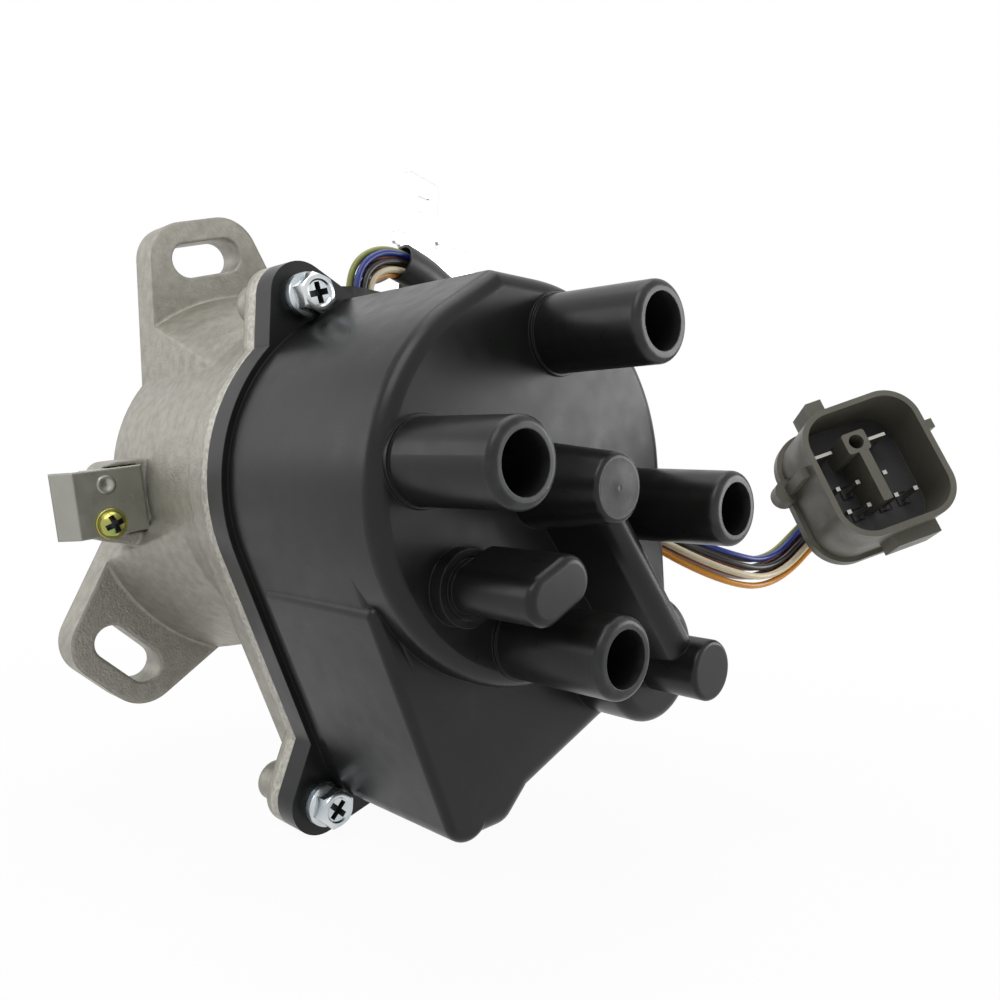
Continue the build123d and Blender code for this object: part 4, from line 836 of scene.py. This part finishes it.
class DISTRIBUTOR_OT_screws(bpy.types.Operator):
    """Make the cap screws and the two bracket screws with their cross recesses"""

    bl_idname = "distributor.screws"
    bl_label = "Screws"

    def execute(self, context):
        colours = context.scene.distributor_colours
        screws = context.scene.distributor_screws
        seat = low("cap_screws").y + HEAD_HEIGHT * MM
        length = (high("cap_screws").y - seat) / MM
        heads = []
        for roll, (x, z) in zip(SCREW_ROLLS, SCREW_PLACES):
            heads += hex_head(screw_spot(Vector((x * MM, seat, z * MM)), TO_CAP, roll), screws, length)
        zinc = finish_material("bright_zinc_screw", colours.zinc, SCREW_PATCH, 0.14, 0.28, metallic=1.0,
                               patch_scale=160.0, grain_scale=900.0, bump=0.04)
        chromate = finish_material("yellow_chromate", colours.yellow_zinc, CHROMATE_PATCH, 0.2, 0.34,
                                   metallic=1.0, patch_scale=320.0)
        # Painted shade for the walls of the cross recesses
        recess = finish_material("recess_painted_shade", *RECESS_PAINTED_SHADE, 0.35, 0.5, metallic=0.8, patch_scale=500.0)
        clip = middle("clip_screw")
        head_height = (CAPTIVE_WASHER + DOME_HEIGHT) * MM
        clip_seat = Vector((clip.x, low("clip_screw").y + head_height, clip.z))
        for name, node, pieces, material, slot in (
                ("cap_screw_heads", "cap_screws", heads, zinc, "screw_steel"),
                ("clip_screw_head", "clip_screw",
                 dome_head(screw_spot(clip_seat, TO_CAP, CLIP_SCREW_ROLL), screws, CLIP_SCREW_LENGTH),
                 chromate, "yellow_zinc"),
                ("hanger_screw_head", "harness_bracket_screw",
                 dome_head(screw_spot(HANGER_SCREW_PLACE, HANGER_SCREW_FACING, HANGER_SCREW_ROLL), screws,
                           HANGER_SCREW_LENGTH), chromate, "yellow_zinc")):
            piece = join_as(name, pieces, material, recess)
            soften(piece, 0.12 * MM)
            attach(piece, "body")
            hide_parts(node)
        return {"FINISHED"}


# Brush spring, connector floor and small marks

SPRING_WIRE = 0.3
SPRING_TURNS = 5
TURN_STEPS = 28
SPRING_SIDES = 12


class DISTRIBUTOR_OT_brush_spring(bpy.types.Operator):
    """Wind the spring behind the carbon brush"""

    bl_idname = "distributor.brush_spring"
    bl_label = "Brush spring"

    def execute(self, context):
        outer, inner = low("brush_spring"), high("brush_spring")
        wire = SPRING_WIRE * MM
        coil_radius = (inner.x - outer.x) / 2 - wire
        centre = middle("brush_spring")
        length = inner.y - outer.y
        steps = SPRING_TURNS * TURN_STEPS
        rise = (0, -(length - 2 * wire) / steps, 0)
        coil = bmesh.new()
        ring = bmesh.ops.create_circle(coil, cap_ends=True, segments=SPRING_SIDES, radius=wire)["verts"]
        bmesh.ops.rotate(coil, cent=(0, 0, 0), matrix=Matrix.Rotation(math.pi / 2, 3, "Z"), verts=ring)
        bmesh.ops.translate(coil, vec=(centre.x + coil_radius, inner.y - wire, centre.z), verts=ring)
        bmesh.ops.spin(coil, geom=list(coil.faces) + list(coil.edges) + list(coil.verts),
                       cent=(centre.x, 0, centre.z), axis=(0, 1, 0), dvec=rise,
                       angle=math.tau * SPRING_TURNS, steps=steps)
        piece = to_mesh_object("brush_spring_coil", coil,
                               finish_material("spring_wire", *SPRING_STEEL, 0.2, 0.35, metallic=1.0))
        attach(piece, "body")
        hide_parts("brush_spring")
        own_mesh(piece)
        return {"FINISHED"}


SOCKET_DEPTH = 14.5
INSERT_THICKNESS = 0.5
INSERT_SIZE = Vector((26.4, 29.8, INSERT_THICKNESS))
INSERT_ROUND = 6.5
PIN_PLACES = ((-9.5, -1.8), (-4.3, -1.8), (2.9, -1.8), (-9.5, -7.9), (-4.3, -7.9), (2.9, -7.9), (8.0, -7.9))
CAVITY_SIDE = 3.2
CAVITY_DEPTH = 0.35
CAVITY_WALL = 0.5
CAVITY_RISE = INSERT_THICKNESS * 1.4


class DISTRIBUTOR_OT_connector_insert(bpy.types.Operator):
    """Make the dark floor of the connector with a raised frame round each pin"""

    bl_idname = "distributor.connector_insert"
    bl_label = "Connector insert"

    def execute(self, context):
        facing = SHELL_FACING
        side = (SHELL_SIDE - facing * SHELL_SIDE.dot(facing)).normalized()
        turn = Matrix((side, facing.cross(side), facing)).transposed().to_4x4()
        spot = Matrix.Translation(SHELL_CENTRE * MM) @ turn
        insert = bmesh.new()
        plate = bmesh.ops.create_cube(insert, size=1.0)["verts"]
        bmesh.ops.scale(insert, vec=INSERT_SIZE * MM, verts=plate)
        corners = [edge for edge in insert.edges if abs(edge.verts[0].co.z - edge.verts[1].co.z) > SAME_PLACE]
        bmesh.ops.bevel(insert, geom=corners, offset=INSERT_ROUND * MM, segments=6, profile=0.5,
                        affect="EDGES", material=-1)
        bmesh.ops.translate(insert, vec=(0, 0, (INSERT_THICKNESS / 2 - SOCKET_DEPTH) * MM),
                            verts=insert.verts)
        for x, y in PIN_PLACES:
            frame_block = bmesh.ops.create_cube(insert, size=1.0)["verts"]
            bmesh.ops.scale(insert, vec=(CAVITY_SIDE * MM, CAVITY_SIDE * MM, INSERT_THICKNESS * MM),
                            verts=frame_block)
            bmesh.ops.translate(insert, vec=(x * MM, y * MM, (CAVITY_RISE - SOCKET_DEPTH) * MM),
                                verts=frame_block)
            top = max({face for vertex in frame_block for face in vertex.link_faces},
                      key=lambda face: face.calc_center_median().z)
            bmesh.ops.inset_individual(insert, faces=[top], thickness=CAVITY_WALL * MM)
            bmesh.ops.translate(insert, vec=(0, 0, -CAVITY_DEPTH * MM), verts=top.verts)
        bmesh.ops.transform(insert, matrix=spot, verts=insert.verts)
        piece = to_mesh_object("connector_insert", insert)
        soften(piece, 0.08 * MM)
        piece.data.materials.append(finish_material("insert_black", *INSERT_BLACK, 0.4, 0.55,
                                                    patch_scale=120.0, bump=0.08))
        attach(piece, "body")
        return {"FINISHED"}


CLIP_FACE_DIMPLE = (-0.6, 4.2)
CLIP_ORIGIN = Vector((-49.0, -24.0, -8.2))
CLIP_TILT = math.radians(10)
DIMPLE_PROFILE = ((0, -0.1), (2.4, -0.1), (2.3, 0.08), (2.0, 0.20), (1.7, 0.17), (1.1, 0.06), (0.5, 0.02),
                  (0, 0.015))
GATE_PROFILE = ((0, -0.3), (5.6, -0.3), (5.55, 0.03), (1.0, 0.04), (0.75, 0.12), (0.5, 0.08), (0.4, -0.22),
                (0, -0.24))
POST_END = Vector((0.0, -138.2, 0.0))


class DISTRIBUTOR_OT_small_marks(bpy.types.Operator):
    """Make the dimple pressed in the clip and the gate mark on the centre post"""

    bl_idname = "distributor.small_marks"
    bl_label = "Dimple and gate mark"

    def execute(self, context):
        along = Vector((math.cos(CLIP_TILT), 0, math.sin(CLIP_TILT)))
        across = Vector((-math.sin(CLIP_TILT), 0, math.cos(CLIP_TILT)))
        centre = (CLIP_ORIGIN + along * CLIP_FACE_DIMPLE[0] + across * CLIP_FACE_DIMPLE[1]) * MM
        dimple = to_mesh_object("clip_dimple", lathe(DIMPLE_PROFILE, screw_spot(centre, TO_CAP)))
        dimple.data.materials.append(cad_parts["clip_bracket"].data.materials[0])
        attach(dimple, "body")
        gate = to_mesh_object("gate_mark", lathe(GATE_PROFILE, screw_spot(POST_END * MM, TO_CAP)))
        gate.data.materials.append(finish_material("frosted_black", *FROSTED_BLACK, 0.42, 0.58,
                                                   patch_scale=330.0, grain_scale=1900.0, bump=0.2,
                                                   specular=0.35))
        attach(gate, "body")
        return {"FINISHED"}


# Studio

FLOOR_SIZE = 6.0
FLOOR_GAP = 0.2 * MM
FLOOR_CENTRE_SHIFT = (0, 0.09, 0)
FLOOR_FADE = (0.12, 0.34)
LAMP_AIM = Vector((0.0, -0.08, 0.0))


def background_rays(nodes, links):
    """One for camera, glossy and transmission rays, and nothing for the rest."""
    path = nodes.new("ShaderNodeLightPath")
    total = path.outputs["Is Camera Ray"]
    for label in ("Is Glossy Ray", "Is Transmission Ray"):
        total = arithmetic(nodes, links, "MAXIMUM", total, path.outputs[label])
    return total


class DISTRIBUTOR_OT_studio(bpy.types.Operator):
    """Set the pale floor, the soft lamps and the bright surroundings"""

    bl_idname = "distributor.studio"
    bl_label = "Studio"

    def execute(self, context):
        studio = context.scene.distributor_studio
        floor = bmesh.new()
        bmesh.ops.create_grid(floor, x_segments=1, y_segments=1, size=FLOOR_SIZE)
        bmesh.ops.translate(floor, vec=(0, 0, cad_box[0][2] - FLOOR_GAP), verts=floor.verts)
        floor_piece = to_mesh_object("studio_floor", floor)
        paper = bpy.data.materials.new("white_paper")
        paper.use_nodes = True
        nodes, links = paper.node_tree.nodes, paper.node_tree.links
        shader = nodes["Principled BSDF"]
        shader.inputs["Base Color"].default_value = PAPER_WHITE
        shader.inputs["Roughness"].default_value = 0.9
        glow = nodes.new("ShaderNodeEmission")
        mix = nodes.new("ShaderNodeMixShader")
        shifted = nodes.new("ShaderNodeMapping")
        shifted.inputs["Location"].default_value = FLOOR_CENTRE_SHIFT
        links.new(nodes.new("ShaderNodeTexCoord").outputs["Object"], shifted.inputs["Vector"])
        reach = nodes.new("ShaderNodeVectorMath")
        reach.operation = "LENGTH"
        flatten = nodes.new("ShaderNodeVectorMath")
        flatten.operation = "MULTIPLY"
        flatten.inputs[1].default_value = (1, 1, 0)
        links.new(shifted.outputs["Vector"], flatten.inputs[0])
        links.new(flatten.outputs["Vector"], reach.inputs[0])
        whiteness = stretch(nodes, links, reach.outputs["Value"], *FLOOR_FADE, studio.floor_glow, 1.0)
        links.new(arithmetic(nodes, links, "MULTIPLY", background_rays(nodes, links), whiteness),
                  mix.inputs["Fac"])
        links.new(shader.outputs["BSDF"], mix.inputs[1])
        links.new(glow.outputs["Emission"], mix.inputs[2])
        links.new(mix.outputs["Shader"], nodes["Material Output"].inputs["Surface"])
        floor_piece.data.materials.append(paper)

        world = bpy.data.worlds.new("surroundings")
        context.scene.world = world
        world.use_nodes = True
        nodes, links = world.node_tree.nodes, world.node_tree.links
        background = nodes["Background"]
        background.inputs["Color"].default_value = (1, 1, 1, 1)
        links.new(stretch(nodes, links, background_rays(nodes, links), 0.0, 1.0, studio.world_strength, 1.0),
                  background.inputs["Strength"])

        for name, place, size, power in (
                ("key", (-0.46, -0.30, 0.62), 0.45, studio.key_power),
                ("fill", (0.52, -0.48, 0.10), 0.28, studio.fill_power),
                ("side", (-0.55, 0.40, 0.25), 0.40, studio.side_power),
                ("top", (0.05, 0.00, 0.80), 0.6, studio.top_power)):
            lamp_data = bpy.data.lights.new(name, "AREA")
            lamp_data.size = size
            lamp_data.energy = power
            lamp = bpy.data.objects.new(name, lamp_data)
            context.collection.objects.link(lamp)
            aim = LAMP_AIM - Vector(place)
            turn = aim.to_track_quat("-Z", "Y").to_matrix().to_4x4()
            lamp.matrix_world = Matrix.Translation(place) @ turn
        context.scene.view_settings.view_transform = "Standard"
        return {"FINISHED"}


class DISTRIBUTOR_PT_panel(bpy.types.Panel):
    """Sidebar panel that lists the steps and their settings"""

    bl_idname = "DISTRIBUTOR_PT_panel"
    bl_label = "Distributor"
    bl_space_type = "VIEW_3D"
    bl_region_type = "UI"
    bl_category = "Distributor"

    def draw(self, context):
        layout = self.layout
        for settings in (context.scene.distributor_colours, context.scene.distributor_screws,
                         context.scene.distributor_studio):
            box = layout.box()
            for label in settings.bl_rna.properties.keys():
                if label not in ("rna_type", "name"):
                    box.prop(settings, label)
        for step in STEPS:
            layout.operator(step.bl_idname)


STEPS = (
    DISTRIBUTOR_OT_camera,
    DISTRIBUTOR_OT_wires,
    DISTRIBUTOR_OT_castings,
    DISTRIBUTOR_OT_cap_finish,
    DISTRIBUTOR_OT_harness_finish,
    DISTRIBUTOR_OT_plated_parts,
    DISTRIBUTOR_OT_screws,
    DISTRIBUTOR_OT_brush_spring,
    DISTRIBUTOR_OT_connector_insert,
    DISTRIBUTOR_OT_small_marks,
    DISTRIBUTOR_OT_studio,
)
CLASSES = (FinishColours, ScrewSizes, StudioSettings, *STEPS, DISTRIBUTOR_PT_panel)


def register():
    """Register the classes and hang the settings on the scene."""
    for item in CLASSES:
        bpy.utils.register_class(item)
    bpy.types.Scene.distributor_colours = PointerProperty(type=FinishColours)
    bpy.types.Scene.distributor_screws = PointerProperty(type=ScrewSizes)
    bpy.types.Scene.distributor_studio = PointerProperty(type=StudioSettings)


def unregister():
    """Take the settings and the classes away again."""
    del bpy.types.Scene.distributor_colours
    del bpy.types.Scene.distributor_screws
    del bpy.types.Scene.distributor_studio
    for item in reversed(CLASSES):
        bpy.utils.unregister_class(item)


def main():
    """Run every step in order."""
    register()
    make_skin_group()
    make_scratch_group()
    make_turned_group()
    for step in STEPS:
        area, name = step.bl_idname.split(".")
        getattr(getattr(bpy.ops, area), name)()


if __name__ == "__main__":
    main()
